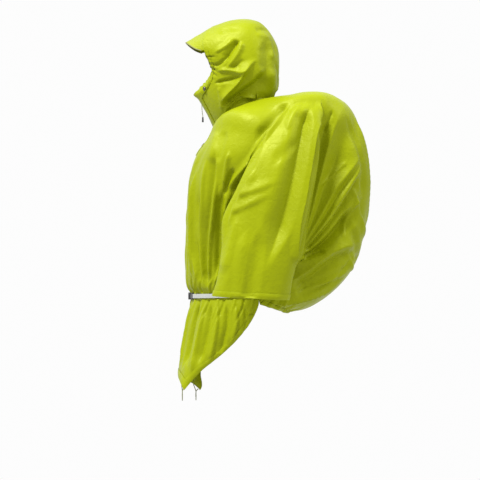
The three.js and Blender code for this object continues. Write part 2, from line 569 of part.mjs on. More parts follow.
const [beltUpper, beltLower] = [frontGrid[beltRow], frontGrid[beltRow + 1]];
const beltEdgeX = folded[beltUpper[beltUpper.length - 1]].x - webbing.edgeInset;
const beltXs = [buckle.plugEnd + buckle.gap];
for (let column = frontCells + 2; column < beltUpper.length - 1; column += 1) {
  const x = folded[beltUpper[column]].x;
  const apart = Math.min(x - beltXs[beltXs.length - 1], (beltEdgeX - x) * 3);
  if (apart > webbing.shortestStep) beltXs.push(x);
}
beltXs.push(beltEdgeX);
const frontStations = beltXs.map((x) => beltStation(beltUpper, beltLower, x));
const lastStation = frontStations[frontStations.length - 1];
const beltZ = lastStation.centre.z;
const backKnots = [lastStation.centre, ...beltBackKnots.map(([x, y]) => new THREE.Vector3(x, y, beltZ))];
const backPoints = through(backKnots, beltBackSteps).slice(1);
const backStations = backPoints.map((centre, at) => {
  const before = at === 0 ? lastStation.centre : backPoints[at - 1];
  const after = at === backPoints.length - 1 ? mirrored(before) : backPoints[at + 1];
  const along = after.clone().sub(before).normalize();
  return { centre, up: new THREE.Vector3(0, 0, 1), out: new THREE.Vector3(along.y, -along.x, 0).normalize() };
});
const nearStations = [...frontStations, ...backStations];
const mirroredStation = ({ centre, up, out }) => (
  { centre: mirrored(centre), up: mirrored(up), out: mirrored(out) });
const beltStations = [...nearStations, ...nearStations.slice(0, -1).reverse().map(mirroredStation)];
const beltEdge = (upSign, outSign) => beltStations.map(({ centre, up, out }) => centre.clone()
  .addScaledVector(up, (upSign * webbing.height) / 2)
  .addScaledVector(out, (outSign * webbing.thickness) / 2));
addMesh('belt', closedSheet([beltEdge(1, 1), beltEdge(-1, 1)], [beltEdge(1, -1), beltEdge(-1, -1)]),
  webbingMaterial);

// Buckle halves, closed together at the middle of the front
const beltFront = beltStation(beltUpper, beltLower, 0);

function roundedBar(fromX, toX, height, corner, depth) {
  const half = height / 2;
  const outline = new THREE.Shape();
  outline.moveTo(fromX + corner, -half);
  outline.lineTo(toX - corner, -half);
  outline.quadraticCurveTo(toX, -half, toX, -half + corner);
  outline.lineTo(toX, half - corner);
  outline.quadraticCurveTo(toX, half, toX - corner, half);
  outline.lineTo(fromX + corner, half);
  outline.quadraticCurveTo(fromX, half, fromX, half - corner);
  outline.lineTo(fromX, -half + corner);
  outline.quadraticCurveTo(fromX, -half, fromX + corner, -half);
  return new THREE.ExtrudeGeometry(outline, { depth, bevelEnabled: false, curveSegments: 3 });
}

function addBuckleHalf(name, fromX, toX, height) {
  const mesh = addMesh(name, roundedBar(fromX, toX, height, buckle.corner, buckle.depth), plasticMaterial);
  mesh.rotation.x = Math.PI / 2;
  mesh.position.set(0, beltFront.centre.y + buckle.stand, beltFront.centre.z);
}

addBuckleHalf('buckle_socket', buckle.socketStart, buckle.split - buckle.gap / 2, buckle.height);
addBuckleHalf('buckle_plug', buckle.split + buckle.gap / 2, buckle.plugEnd, buckle.plugHeight);

// Slider: a frame round the webbing, on the near side of the buckle
const sliderStation = beltStation(beltUpper, beltLower, slider.x);
const frame = new THREE.Shape();
const frameHalf = [slider.height / 2, slider.depth / 2];
const holeHalf = [slider.holeHeight / 2, slider.holeDepth / 2];
const rectangle = ([a, b]) => [[-a, -b], [a, -b], [a, b], [-a, b]].map(([x, y]) => new THREE.Vector2(x, y));
frame.setFromPoints(rectangle(frameHalf));
frame.holes.push(new THREE.Path(rectangle(holeHalf).reverse()));
const sliderMesh = addMesh('belt_slider', new THREE.ExtrudeGeometry(frame, { depth: slider.length,
  bevelEnabled: false }), plasticMaterial);
const sliderAlong = sliderStation.up.clone().cross(sliderStation.out);
const sliderTurn = new THREE.Matrix4().makeBasis(sliderStation.up, sliderStation.out, sliderAlong);
sliderMesh.quaternion.setFromRotationMatrix(sliderTurn);
sliderMesh.position.copy(sliderStation.centre).addScaledVector(sliderAlong, -slider.length / 2);

// A round cord along a list of points
function addCord(name, points, diameter, steps, material) {
  const section = new THREE.Shape();
  for (let side = 0; side < cord.sides; side += 1) {
    const angle = (side / cord.sides) * 2 * Math.PI;
    const [x, y] = [(diameter / 2) * Math.cos(angle), (diameter / 2) * Math.sin(angle)];
    if (side === 0) section.moveTo(x, y);
    else section.lineTo(x, y);
  }
  section.closePath();
  const extrudePath = new THREE.CatmullRomCurve3(points, false, 'centripetal');
  addMesh(name, new THREE.ExtrudeGeometry(section, { steps, extrudePath, bevelEnabled: false }), material);
}

// Hood cord on the far side of the collar, with its eyelet and end
const eyeletSpot = crossing(hoodRightGrid[2].slice().reverse(), eyelet.x);
const eyeletRing = [[eyelet.inner, 0], [eyelet.outer, 0], [eyelet.outer, eyelet.height * 0.5],
  [(eyelet.inner + eyelet.outer) / 2, eyelet.height], [eyelet.inner, eyelet.height], [eyelet.inner, 0]];
const eyeletMesh = addMesh('eyelet',
  new THREE.LatheGeometry(eyeletRing.map(([x, y]) => new THREE.Vector2(x, y)), eyelet.sides), metalMaterial);
turnTo(eyeletMesh, eyeletSpot.point.clone().addScaledVector(eyeletSpot.normal, eyelet.lift), eyeletSpot.normal);
addCord('drawcord', cordRoute.map(vector), cord.diameter, cord.steps, cordMaterial);
const endMesh = addMesh('cord_end',
  new THREE.CylinderGeometry(cord.endTopRadius, cord.endRadius, cord.endLength, 12), plasticMaterial);
const [footX, footY, footZ] = cordRoute[cordRoute.length - 1];
endMesh.rotation.x = Math.PI / 2;
endMesh.position.set(footX, footY, footZ - cord.gap - cord.endLength / 2);

// Cord loops under the two lower corners of the front flap
const hemRow = frontGrid[frontGrid.length - 1];
function addHemLoop(name, side) {
  const cornerX = Math.abs(folded[hemRow[side > 0 ? hemRow.length - 1 : 0]].x);
  const outerX = cornerX - hemLoop.inset;
  const legs = [outerX, outerX - 2 * hemLoop.halfWidth].map((x) => crossing(hemRow, x * side).point);
  const top = Math.min(legs[0].z, legs[1].z);
  const bottom = top - hemLoop.drop;
  const middle = legs[0].clone().add(legs[1]).multiplyScalar(0.5);
  const points = [];
  const start = (leg) => new THREE.Vector3(leg.x, leg.y, leg.z - hemLoop.gap);
  const straight = (leg) => new THREE.Vector3(leg.x, middle.y, top - hemLoop.straighten);
  points.push(start(legs[0]), straight(legs[0]));
  const turnZ = bottom + hemLoop.halfWidth;
  for (let step = 0; step <= 6; step += 1) {
    const angle = (step / 6) * Math.PI;
    points.push(new THREE.Vector3(middle.x + side * hemLoop.halfWidth * Math.cos(angle), middle.y,
      turnZ - hemLoop.halfWidth * Math.sin(angle)));
  }
  points.push(straight(legs[1]), start(legs[1]));
  addCord(name, points, hemLoop.diameter, hemLoop.steps, loopMaterial);
}

addHemLoop('hem_loop_left', 1);
addHemLoop('hem_loop_right', -1);

export default group;
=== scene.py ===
import math

import bpy
import numpy as np
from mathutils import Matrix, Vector, noise


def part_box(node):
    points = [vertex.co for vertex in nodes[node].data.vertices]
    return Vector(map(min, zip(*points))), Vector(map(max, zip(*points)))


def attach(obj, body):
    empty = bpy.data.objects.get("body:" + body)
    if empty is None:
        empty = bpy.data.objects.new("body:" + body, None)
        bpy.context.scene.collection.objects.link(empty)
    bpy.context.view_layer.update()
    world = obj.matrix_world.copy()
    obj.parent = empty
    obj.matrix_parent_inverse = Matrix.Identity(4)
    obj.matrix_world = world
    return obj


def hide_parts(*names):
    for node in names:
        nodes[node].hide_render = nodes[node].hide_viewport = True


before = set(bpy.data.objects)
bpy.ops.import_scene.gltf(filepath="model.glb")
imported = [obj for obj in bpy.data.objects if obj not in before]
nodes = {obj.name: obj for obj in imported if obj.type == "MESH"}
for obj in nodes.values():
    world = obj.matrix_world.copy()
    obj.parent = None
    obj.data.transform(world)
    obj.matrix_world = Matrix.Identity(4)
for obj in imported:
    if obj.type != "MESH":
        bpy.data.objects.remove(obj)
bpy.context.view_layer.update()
scene = bpy.context.scene
scene.view_settings.view_transform = "Standard"
millimetre = 0.001
print("frame loaded:", len(nodes), "solids")


def link(thing):
    scene.collection.objects.link(thing)
    return thing


# camera: level with the chest, looking at the left side from far away
shot = {
    "pictureWidth": 1.44,      # metres of the middle plane that the picture takes in
    "away": 12.0,
    "lookAt": (0.0, -0.024, -0.366),
    "sensor": 36.0,
    "clipEnd": 100.0,
}
cameraData = bpy.data.cameras.new("camera")
cameraData.sensor_width = shot["sensor"]
cameraData.lens = shot["sensor"] * shot["away"] / shot["pictureWidth"]
cameraData.clip_end = shot["clipEnd"]
camera = link(bpy.data.objects.new("camera", cameraData))
camera.location = Vector(shot["lookAt"]) + Vector((shot["away"], 0, 0))
camera.rotation_euler = (math.radians(90), 0, math.radians(90))
scene.camera = camera


# small tools for materials
def newMaterial(name):
    material = bpy.data.materials.new(name)
    material.use_nodes = True
    tree = material.node_tree
    return material, tree, tree.nodes["Principled BSDF"]


def addNode(tree, kind, place=None, **settings):
    node = tree.nodes.new(kind)
    for key, value in settings.items():
        if key in node.inputs:
            node.inputs[key].default_value = value
        else:
            setattr(node, key, value)
    if place:
        tree.links.new(place, node.inputs["Vector"])
    return node


def objectPlace(tree):
    return addNode(tree, "ShaderNodeTexCoord").outputs["Object"]


def toneRamp(tree, value, positions, colours):
    ramp = addNode(tree, "ShaderNodeValToRGB")
    for stop, position, colour in zip(ramp.color_ramp.elements, positions, colours):
        stop.position = position
        stop.color = (*colour, 1)
    tree.links.new(value, ramp.inputs["Fac"])
    return ramp.outputs["Color"]


def cloudyTones(tree, place, scale, positions, colours):
    cloud = addNode(tree, "ShaderNodeTexNoise", place, Scale=scale, Detail=3.0)
    return toneRamp(tree, cloud.outputs["Fac"], positions, colours)


def addBump(tree, onto, height, strength, distance):
    bump = addNode(tree, "ShaderNodeBump", Strength=strength, Distance=distance)
    tree.links.new(height, bump.inputs["Height"])
    tree.links.new(bump.outputs["Normal"], onto.inputs["Normal"])
    return bump


nylon = {
    "colour": (0.194, 0.227, 0.0009),
    "deeper": (0.172, 0.202, 0.0007),
    "cloudScale": 5.0, "cloudStops": (0.35, 0.68),
    "roughness": (0.41, 0.52), "roughScale": 18.0, "roughStops": (0.3, 0.7),
    "shine": 0.21, "shineTint": (1, 1, 0.3, 1),
    "thread": 0.0006, "threadBump": (0.12, 0.0003),        # thread width; bump strength and depth in metres
    "crinkleScale": 55.0, "crinkleBump": (0.4, 0.004),
}


def nylonMaterial(name):
    material, tree, shader = newMaterial(name)
    place = objectPlace(tree)
    tree.links.new(cloudyTones(tree, place, nylon["cloudScale"], nylon["cloudStops"],
                               (nylon["deeper"], nylon["colour"])), shader.inputs["Base Color"])
    tree.links.new(cloudyTones(tree, place, nylon["roughScale"], nylon["roughStops"],
                               [(value,) * 3 for value in nylon["roughness"]]), shader.inputs["Roughness"])
    shader.inputs["Specular IOR Level"].default_value = nylon["shine"]
    shader.inputs["Specular Tint"].default_value = nylon["shineTint"]
    weave = addNode(tree, "ShaderNodeTexWave", place, Scale=math.pi / 100 / nylon["thread"], Distortion=0.4,
                    bands_direction="Z")
    weft = addNode(tree, "ShaderNodeTexNoise", place, Scale=1 / nylon["thread"] / 3, Detail=2.0)
    both = addNode(tree, "ShaderNodeMath", operation="ADD")
    tree.links.new(weave.outputs["Fac"], both.inputs[0])
    tree.links.new(weft.outputs["Fac"], both.inputs[1])
    threadBump = addBump(tree, shader, both.outputs["Value"], *nylon["threadBump"])
    crinkle = addNode(tree, "ShaderNodeTexNoise", place, Scale=nylon["crinkleScale"], Detail=4.0, Roughness=0.6,
                      Distortion=0.8)
    addBump(tree, threadBump, crinkle.outputs["Fac"], *nylon["crinkleBump"])
    return material


def plainMaterial(name, colour, rough, metal=0.0, grain=400.0, bump=0.15):
    material, tree, shader = newMaterial(name)
    place = objectPlace(tree)
    worn = tuple(part * 0.85 for part in colour)
    tree.links.new(cloudyTones(tree, place, grain / 4, (0.3, 0.7), (worn, colour)), shader.inputs["Base Color"])
    shader.inputs["Roughness"].default_value = rough
    shader.inputs["Metallic"].default_value = metal
    speck = addNode(tree, "ShaderNodeTexNoise", place, Scale=grain, Detail=3.0)
    addBump(tree, shader, speck.outputs["Fac"], bump, 0.0003)
    return material


def cordMaterial(name, colour):
    material, tree, shader = newMaterial(name)
    braid = addNode(tree, "ShaderNodeTexWave", objectPlace(tree), Scale=260.0, Distortion=1.2, Detail=1.0,
                    bands_direction="DIAGONAL")
    shaded = tuple(part * 0.6 for part in colour)
    tree.links.new(toneRamp(tree, braid.outputs["Fac"], (0, 1), (shaded, colour)), shader.inputs["Base Color"])
    shader.inputs["Roughness"].default_value = 0.8
    addBump(tree, shader, braid.outputs["Fac"], 0.5, 0.0005)
    return material


clothFinish = nylonMaterial("coatedNylon")
hoodCordFinish = cordMaterial("hoodCordBraid", (0.42, 0.42, 0.36))
loopCordFinish = cordMaterial("loopCordBraid", (0.16, 0.17, 0.06))
plasticFinish = plainMaterial("blackPlastic", (0.018, 0.018, 0.02), 0.38)
metalFinish = plainMaterial("darkSnapMetal", (0.085, 0.078, 0.06), 0.36, metal=0.8, grain=900.0, bump=0.05)
threadFinish = plainMaterial("sewingThread", (0.24, 0.31, 0.01), 0.6, grain=900.0)
# dark olive tape for the peak's edge: painted shade in place of the peak's shadowed underside
peakShadeFinish = plainMaterial("shadedPeakBinding", (0.11, 0.115, 0.012), 0.6, grain=700.0)
webbingFinish = plainMaterial("greyWebbing", (0.3, 0.31, 0.29), 0.8, grain=1200.0, bump=0.4)
print("materials made")


# small tools for lines of points, all in millimetres
def through(knots, counts, closed=False):
    # points on a smooth curve through the knots, counts[i] of them to a span
    knots = np.asarray(knots, float)
    last = len(knots)
    made = []
    for span in range(last if closed else last - 1):
        if closed:
            before, start, end, after = (knots[(span + k) % last] for k in (-1, 0, 1, 2))
        else:
            start, end = knots[span], knots[span + 1]
            before = knots[span - 1] if span else 2 * knots[0] - knots[1]
            after = knots[span + 2] if span + 2 < last else 2 * knots[-1] - knots[-2]
        g0, g1, g2 = (np.maximum(np.linalg.norm(b - a, axis=-1, keepdims=True), 1e-6) ** 0.5
                      for a, b in ((before, start), (start, end), (end, after)))
        leave = ((start - before) / g0 - (end - before) / (g0 + g1) + (end - start) / g1) * g1
        arrive = ((end - start) / g1 - (after - start) / (g1 + g2) + (after - end) / g2) * g1
        for cell in range(counts[span]):
            t = cell / counts[span]
            made.append(start + leave * t + (3 * (end - start) - 2 * leave - arrive) * t * t
                        + (2 * (start - end) + leave + arrive) * t ** 3)
    if not closed:
        made.append(knots[-1])
    return np.array(made)


def walked(points):
    # how far along the line each point lies
    return np.concatenate([[0], np.cumsum(np.linalg.norm(np.diff(points, axis=0), axis=1))])


def sample(wanted, known, rows):
    return np.stack([np.interp(wanted, known, rows[:, axis]) for axis in range(3)], axis=1)


def unit(vectors):
    return vectors / np.maximum(np.linalg.norm(vectors, axis=-1, keepdims=True), 1e-9)


def cornersOf(name):
    return np.array([vertex.co for vertex in nodes[name].data.vertices]) / millimetre


# cords: the hood cord on the far side and the two loops under the front corners
hoodCord = {
    "diameter": 3.0,
    "route": [(-42.7, -131.5, 88.1), (-44.7, -134.8, 88.8), (-47, -137, 68), (-48, -139, 58),
              (-48, -139.5, 44), (-47.6, -139, 30), (-47, -137.5, 16), (-46.5, -136, 4)],
    "counts": [3, 4, 3, 4, 4, 4, 4],
}
hemLoop = {"diameter": 2.6, "halfWidth": 5.3, "turnSteps": 9, "straighten": 8.0}


def cordCurve(name, points, diameter, material):
    data = bpy.data.curves.new(name, "CURVE")
    data.dimensions = "3D"
    data.bevel_depth = diameter / 2 * millimetre
    data.bevel_resolution = 3
    data.use_fill_caps = True
    spline = data.splines.new("POLY")
    spline.points.add(len(points) - 1)
    for spot, point in zip(spline.points, points):
        spot.co = (*(point * millimetre), 1)
    data.materials.append(material)
    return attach(link(bpy.data.objects.new(name, data)), "root")


def loopRoute(name, side):
    # down the outer leg, round the turn and up the inner leg, where the solid of the loop lies
    low, high = (np.array(corner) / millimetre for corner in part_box(name))
    corners = cornersOf(name)
    radius = hemLoop["diameter"] / 2
    legs = (low[0] + radius, high[0] - radius)
    outerX, innerX = legs[::-side]
    tops = []
    for x in (outerX, innerX):
        near = corners[abs(corners[:, 0] - x) < radius * 1.2]
        tops.append(near[near[:, 2] > near[:, 2].max() - 2 * radius].mean(axis=0))
    hangY = corners[corners[:, 2] < low[2] + 3 * hemLoop["halfWidth"]][:, 1].mean()
    bendTop = min(tops[0][2], tops[1][2]) - hemLoop["straighten"]
    middleX, turnZ = (outerX + innerX) / 2, low[2] + radius + hemLoop["halfWidth"]
    halfSpan = abs(outerX - middleX)
    turn = [(middleX + side * halfSpan * math.cos(a), hangY, turnZ - hemLoop["halfWidth"] * math.sin(a))
            for a in np.linspace(0, math.pi, hemLoop["turnSteps"])]
    knots = [(outerX, *tops[0][1:]), (outerX, hangY, bendTop), *turn,
             (innerX, hangY, bendTop), (innerX, *tops[1][1:])]
    return through(knots, [4] + [2] * (len(knots) - 3) + [4])


hoodCordPoints = through(hoodCord["route"], hoodCord["counts"])
drawcord = cordCurve("hoodCord", hoodCordPoints, hoodCord["diameter"], hoodCordFinish)
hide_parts("drawcord")
for loopName, side in (("hem_loop_left", 1), ("hem_loop_right", -1)):
    loopPoints = loopRoute(loopName, side)
    loop = cordCurve(loopName + "_cord", loopPoints, hemLoop["diameter"], loopCordFinish)
    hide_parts(loopName)
print("cords made:", round(walked(hoodCordPoints)[-1]), "mm hood cord,", round(walked(loopPoints)[-1]), "mm loops")


# cloth tables: the same rings and sections as the solids, in millimetres
def ring(front, chin, cheek, temple, crown, top, steps):
    return dict(front=front, chin=chin, cheek=cheek, temple=temple, crown=crown, top=top, steps=steps)


def section(centre, edge, width, square, rise, steps):
    return dict(centre=centre, edge=edge, width=width, square=square, rise=rise, steps=steps)


hoodRings = [
    ring((-99, -34), (55, -77, -9), (87, -38, 24), (83, 22, 51), (56, 53, 57), (77, 60), 0),
    ring((-112, -3), (57, -90, 14), (94, -46, 42), (98, 24, 76), (62, 70, 84), (86, 91), 2),
    ring((-124, 20), (60, -101, 38), (99, -54, 74), (108, 18, 118), (72, 78, 130), (92, 140), 2),
    ring((-137, 43), (58, -112, 60), (100, -67, 104), (112, -4, 160), (77, 66, 197), (86, 216), 2),
    ring((-148, 60), (53, -121, 77), (92, -84, 120), (108, -38, 186), (76, 13, 264), (33, 287), 2),
    ring((-156, 68), (45, -128, 90), (81, -99, 130), (98, -84, 196), (66, -52, 270), (-46, 293), 2),
    ring((-160, 72), (32, -128, 100), (68, -106, 140), (80, -130, 200), (58, -126, 247), (-108, 273), 2),
]
brimEdge = [(79, -139, 198), (72, -156, 204), (54, -172, 214), (30, -182, 222), (0, -186, 226)]

frontSections = [
    section((-106, -52), (200, 68, -34), 196, 2.0, 58, 2),
    section((-121, -73), (206, 42, -76), 203, 2.1, 28, 2),
    section((-154, -114), (205, 12, -129), 205, 2.2, 6, 2),
    section((-174, -180), (197, 34, -198), 196, 2.4, 0, 2),
    section((-181, -265), (188, 60, -270), 190, 2.6, 0, 2),
    section((-182, -340), (186, 103, -345), 184, 2.6, 0, 2),
    section((-185, -415), (183, 149, -420), 180, 2.6, 0, 2),
    section((-185, -465), (176, 100, -465), 174, 2.5, 0, 2),
    section((-179, -505), (168, 42, -505), 168, 2.3, 0, 2),
    section((-168, -525), (165, 33, -519), 164, 2.2, 0, 1),
    section((-168, -543), (165, 32, -537), 164, 2.2, 0, 1),
    section((-172, -561), (168, 31, -559), 169, 2.2, 0, 1),
    section((-183, -612), (168, 0, -621), 171, 2.3, 0, 2),
    section((-196, -682), (155, -67, -695), 158, 2.3, 0, 2),
    section((-206, -738), (140, -142, -757), 143, 2.2, 0, 2),
    section((-208, -772), (125, -190, -812), 126, 2.0, 0, 2),
]
backSections = [
    section((120, 66), (182, 132, 30), 176, 3.0, 2, 2),
    section((178, 76), (172, 178, 42), 168, 3.4, 0, 2),
    section((240, 71), (170, 214, 32), 166, 3.2, 0, 2),
    section((300, 34), (178, 208, -20), 166, 3.2, 0, 2),
    section((337, -40), (185, 200, -110), 166, 3.4, 0, 2),
    section((354, -115), (188, 190, -200), 167, 3.6, 0, 2),
    section((359, -190), (188, 178, -275), 168, 3.6, 0, 3),
    section((355, -270), (187, 167, -338), 168, 3.6, 0, 3),
    section((345, -350), (185, 157, -388), 167, 3.5, 0, 2),
    section((327, -420), (183, 149, -420), 166, 3.4, 0, 2),
    section((297, -473), (176, 100, -465), 164, 3.2, 0, 2),
    section((244, -528), (168, 42, -505), 162, 3.0, 0, 2),
    section((180, -567), (166, 53, -532), 162, 3.0, 0, 1),
    section((110, -580), (165, 35, -557), 162, 3.0, 0, 1),
]
# each loop of a sleeve: shoulder, ridge, front, inner, rear inner, rear, rear top, top
sleeveRings = [
    ((222, 74, -40), (238, 36, -98), (226, -6, -165), (203, 56, -276),
     (201, 147, -427), (213, 180, -283), (210, 207, -48), (208, 167, 14)),
    ((255, 55, -105), (262, 10, -165), (240, -37, -230), (214, 48, -300),
     (208, 136, -443), (228, 171, -315), (234, 192, -130), (244, 148, -60)),
    ((282, 32, -205), (279, -20, -262), (247, -74, -306), (216, 38, -345),
     (214, 126, -462), (242, 160, -355), (256, 172, -235), (276, 122, -170)),
    ((297, 8, -325), (288, -44, -368), (250, -77, -390), (216, 25, -405),
     (217, 112, -487), (250, 146, -415), (272, 148, -340), (294, 92, -300)),
    ((303, -12, -440), (291, -62, -460), (251, -87, -465), (217, 8, -475),
     (219, 98, -515), (252, 131, -480), (282, 118, -445), (302, 62, -425)),
    ((301, -28, -536), (284, -80, -533), (250, -104, -531), (218, -12, -534),
     (222, 84, -540), (250, 119, -542), (284, 92, -542), (303, 35, -539)),
]
weaveGrid = {
    "fine": 7,                    # mesh cells to one cell of the solids
    "sleeveFine": 9,              # the same along the sleeve
    "neckFront": [3, 3, 3], "neckBack": [4, 4], "shoulder": 6,
    "sleeveCells": [3, 3, 4, 4, 7, 7, 4, 4], "sleeveSteps": 2, "brimSteps": 4,
    "shoulderKnots": [(120, 46, 46), (156, 66, 28), (190, 84, 0)],
    "flapEndRow": 6, "underarmRow": 14, "sideSeamRows": 4, "beltRow": 19, "backUnderarmRow": 22,
}
fine = weaveGrid["fine"]
neckFrontCount = sum(weaveGrid["neckFront"]) * fine
neckBackCount = sum(weaveGrid["neckBack"]) * fine
shoulderCount = weaveGrid["shoulder"] * fine
frontCount, backCount = neckFrontCount + shoulderCount, neckBackCount + shoulderCount
mirror = np.array([-1.0, 1.0, 1.0])


def finer(counts):
    return [count * fine for count in counts]


def halfSection(part, cells):
    # half a trunk section, from the middle line round to the edge seam, in even steps
    share = np.linspace(0, 1, 257)
    angle = share * math.pi / 2
    along = np.sin(angle) ** (2 / part["square"])
    turned = 1 - np.maximum(np.cos(angle), 0) ** (2 / part["square"])
    edgeX, edgeY, edgeZ = part["edge"]
    half = part["width"] + (edgeX - part["width"]) * turned ** 2
    y = part["centre"][0] + (edgeY - part["centre"][0]) * turned
    z = part["centre"][1] + (edgeZ - part["centre"][1]) * turned + part["rise"] * np.sin(share * math.pi)
    points = np.stack([half * along, y, z], axis=1)
    gone = walked(points)
    return sample(np.linspace(0, gone[-1], cells + 1), gone, points)


def fillRows(rows, steps):
    return through(np.array(rows), finer(steps))


def bothHalves(rows):
    return np.concatenate([rows[:, :0:-1] * mirror, rows], axis=1)


def halfRing(part):
    side = np.array([part[key] for key in ("chin", "cheek", "temple", "crown")], float)
    front, top = ([0, *part[key]] for key in ("front", "top"))
    cells = finer(weaveGrid["neckFront"] + weaveGrid["neckBack"])
    knots = [front, *side, top, *(side[::-1] * mirror)]
    return through(knots, cells + cells[::-1], closed=True)[:sum(cells) + 1]


def halfTrunk(top, sections, count):
    return fillRows([top, *(halfSection(part, count) for part in sections)], [part["steps"] for part in sections])


# base forms, before the folds
hoodHalf = fillRows([halfRing(part) for part in hoodRings], [part["steps"] for part in hoodRings[1:]])
neckRing = hoodHalf[0]
shoulderSeam = through([neckRing[neckFrontCount], *weaveGrid["shoulderKnots"]], finer([2, 2, 2]))[1:]
frontHalf = halfTrunk(np.concatenate([neckRing[:neckFrontCount + 1], shoulderSeam]), frontSections, frontCount)
backHalf = halfTrunk(np.concatenate([neckRing[neckFrontCount:][::-1], shoulderSeam]), backSections, backCount)
underarm, backUnderarm = weaveGrid["underarmRow"] * fine, weaveGrid["backUnderarmRow"] * fine
sideRows = weaveGrid["sideSeamRows"] * fine + 1
backHalf[backUnderarm:backUnderarm + sideRows, backCount] = frontHalf[underarm:underarm + sideRows, frontCount]
armhole = np.concatenate([frontHalf[:underarm, frontCount], backHalf[backUnderarm:0:-1, backCount]])
sleeveLoops = [through(knots, finer(weaveGrid["sleeveCells"]), closed=True) for knots in sleeveRings]
sleeveHalf = through(np.array([armhole, *sleeveLoops]),
                     [weaveGrid["sleeveSteps"] * weaveGrid["sleeveFine"]] * len(sleeveRings))
brimKnots = np.array([*brimEdge, *(np.array(brimEdge[-2::-1]) * mirror)], float)
brimOuter = through(brimKnots, finer([2] * 8))[:neckBackCount + 1]
brimHalf = fillRows([hoodHalf[-1][neckFrontCount:], brimOuter], [weaveGrid["brimSteps"]])

# rows and columns run so that every face looks outward
panels = {
    "front_panel": dict(rows=bothHalves(frontHalf), closed=False),
    "back_panel": dict(rows=bothHalves(backHalf)[:, ::-1], closed=False),
    "sleeve_left": dict(rows=sleeveHalf[:, ::-1], closed=True),
    "sleeve_right": dict(rows=sleeveHalf * mirror, closed=True),
    "hood_left": dict(rows=hoodHalf[::-1], closed=False),
    "hood_right": dict(rows=hoodHalf[::-1, ::-1] * mirror, closed=False),
    "brim": dict(rows=bothHalves(brimHalf[:, ::-1]), closed=False),
}


def weld(parts):
    # neighbouring pieces share the points of their seams
    stacked = np.concatenate([part["rows"].reshape(-1, 3) for part in parts.values()])
    _, first, index = np.unique(np.round(stacked * 50).astype(np.int64), axis=0,
                                return_index=True, return_inverse=True)
    start = 0
    index = index.reshape(-1)
    for part in parts.values():
        rows, columns = part["rows"].shape[:2]
        part["index"] = index[start:start + rows * columns].reshape(rows, columns)
        start += rows * columns
    return stacked[first]


def gridFaces(index, closed=False):
    wrapped = np.concatenate([index, index[:, :1]], axis=1) if closed else index
    a, b, c, d = wrapped[:-1, :-1], wrapped[1:, :-1], wrapped[1:, 1:], wrapped[:-1, 1:]
    return np.stack([a, b, c, d], axis=-1).reshape(-1, 4)


def gridIndex(rows):
    return np.arange(rows.shape[0] * rows.shape[1]).reshape(rows.shape[:2])


def edgesOf(faces):
    return np.concatenate([faces[:, [k, (k + 1) % 4]] for k in range(4)])


def faceCrosses(points, faces):
    corners = points[faces]
    return np.cross(corners[:, 2] - corners[:, 0], corners[:, 3] - corners[:, 1])


def pointNormals(points, faces):
    crossed = faceCrosses(points, faces)
    total = np.zeros_like(points)
    for corner in range(4):
        np.add.at(total, faces[:, corner], crossed)
    return unit(total)


def smooth(value, low, high):
    t = np.clip((value - low) / (high - low), 0, 1)
    return t * t * (3 - 2 * t)


base = weld(panels)
allFaces = np.concatenate([gridFaces(part["index"], part["closed"]) for part in panels.values()])
sleeveShare = np.zeros(len(base))       # 0 at the armhole, 1 at the cuff
onHood = np.zeros(len(base), bool)
for side in ("left", "right"):
    index = panels["sleeve_" + side]["index"]
    sleeveShare[index] = np.linspace(0, 1, len(index))[:, None]
    onHood[panels["hood_" + side]["index"]] = True

# the cloth runs smoothly over the armhole seams
armholeEase = {"sleeveShare": 0.17, "columns": 16, "rounds": 70, "pull": 0.6}
nearArmhole = np.where(sleeveShare > 0, 1 - smooth(sleeveShare, 0, armholeEase["sleeveShare"]), 0)
for name, rowsDown in (("front_panel", underarm), ("back_panel", backUnderarm)):
    index = panels[name]["index"][:rowsDown]
    seamShare = 1 - smooth(np.arange(index.shape[1] // 2 + 1), 0, armholeEase["columns"])
    for k, share in enumerate(seamShare):
        for column in (k, -1 - k):
            nearArmhole[index[:, column]] = np.maximum(nearArmhole[index[:, column]], share)


def ease(points, weight):
    # moves each point toward the middle of its neighbours, by its weight
    cellEdges = np.unique(np.sort(edgesOf(allFaces), axis=1), axis=0)
    ends = np.concatenate([cellEdges, cellEdges[:, ::-1]])
    count = np.maximum(np.bincount(ends[:, 0], minlength=len(points)), 1)[:, None]
    for _ in range(armholeEase["rounds"]):
        sums = [np.bincount(ends[:, 0], points[ends[:, 1], k], minlength=len(points)) for k in range(3)]
        points = points + (np.stack(sums, axis=1) / count - points) * (weight * armholeEase["pull"])[:, None]
    return points


base = ease(base, nearArmhole)
baseNormals = pointNormals(base, allFaces)
print("base cloth:", len(base), "points")


# folds: side folds are drawn on the side view as (y, z) places in millimetres, from their upper end.
# depth stands out, or goes in where it is negative; wide is half the width at the two ends;
# lean above 0 makes the side on the left of the path steeper; crisp 0 is soft and 1 is a sharp crest.
def fold(path, depth, wide, lean=0.0, crisp=0.3, fade=(0.2, 0.2)):
    return dict(path=path, depth=depth, wide=wide, lean=lean, crisp=crisp, fade=fade)


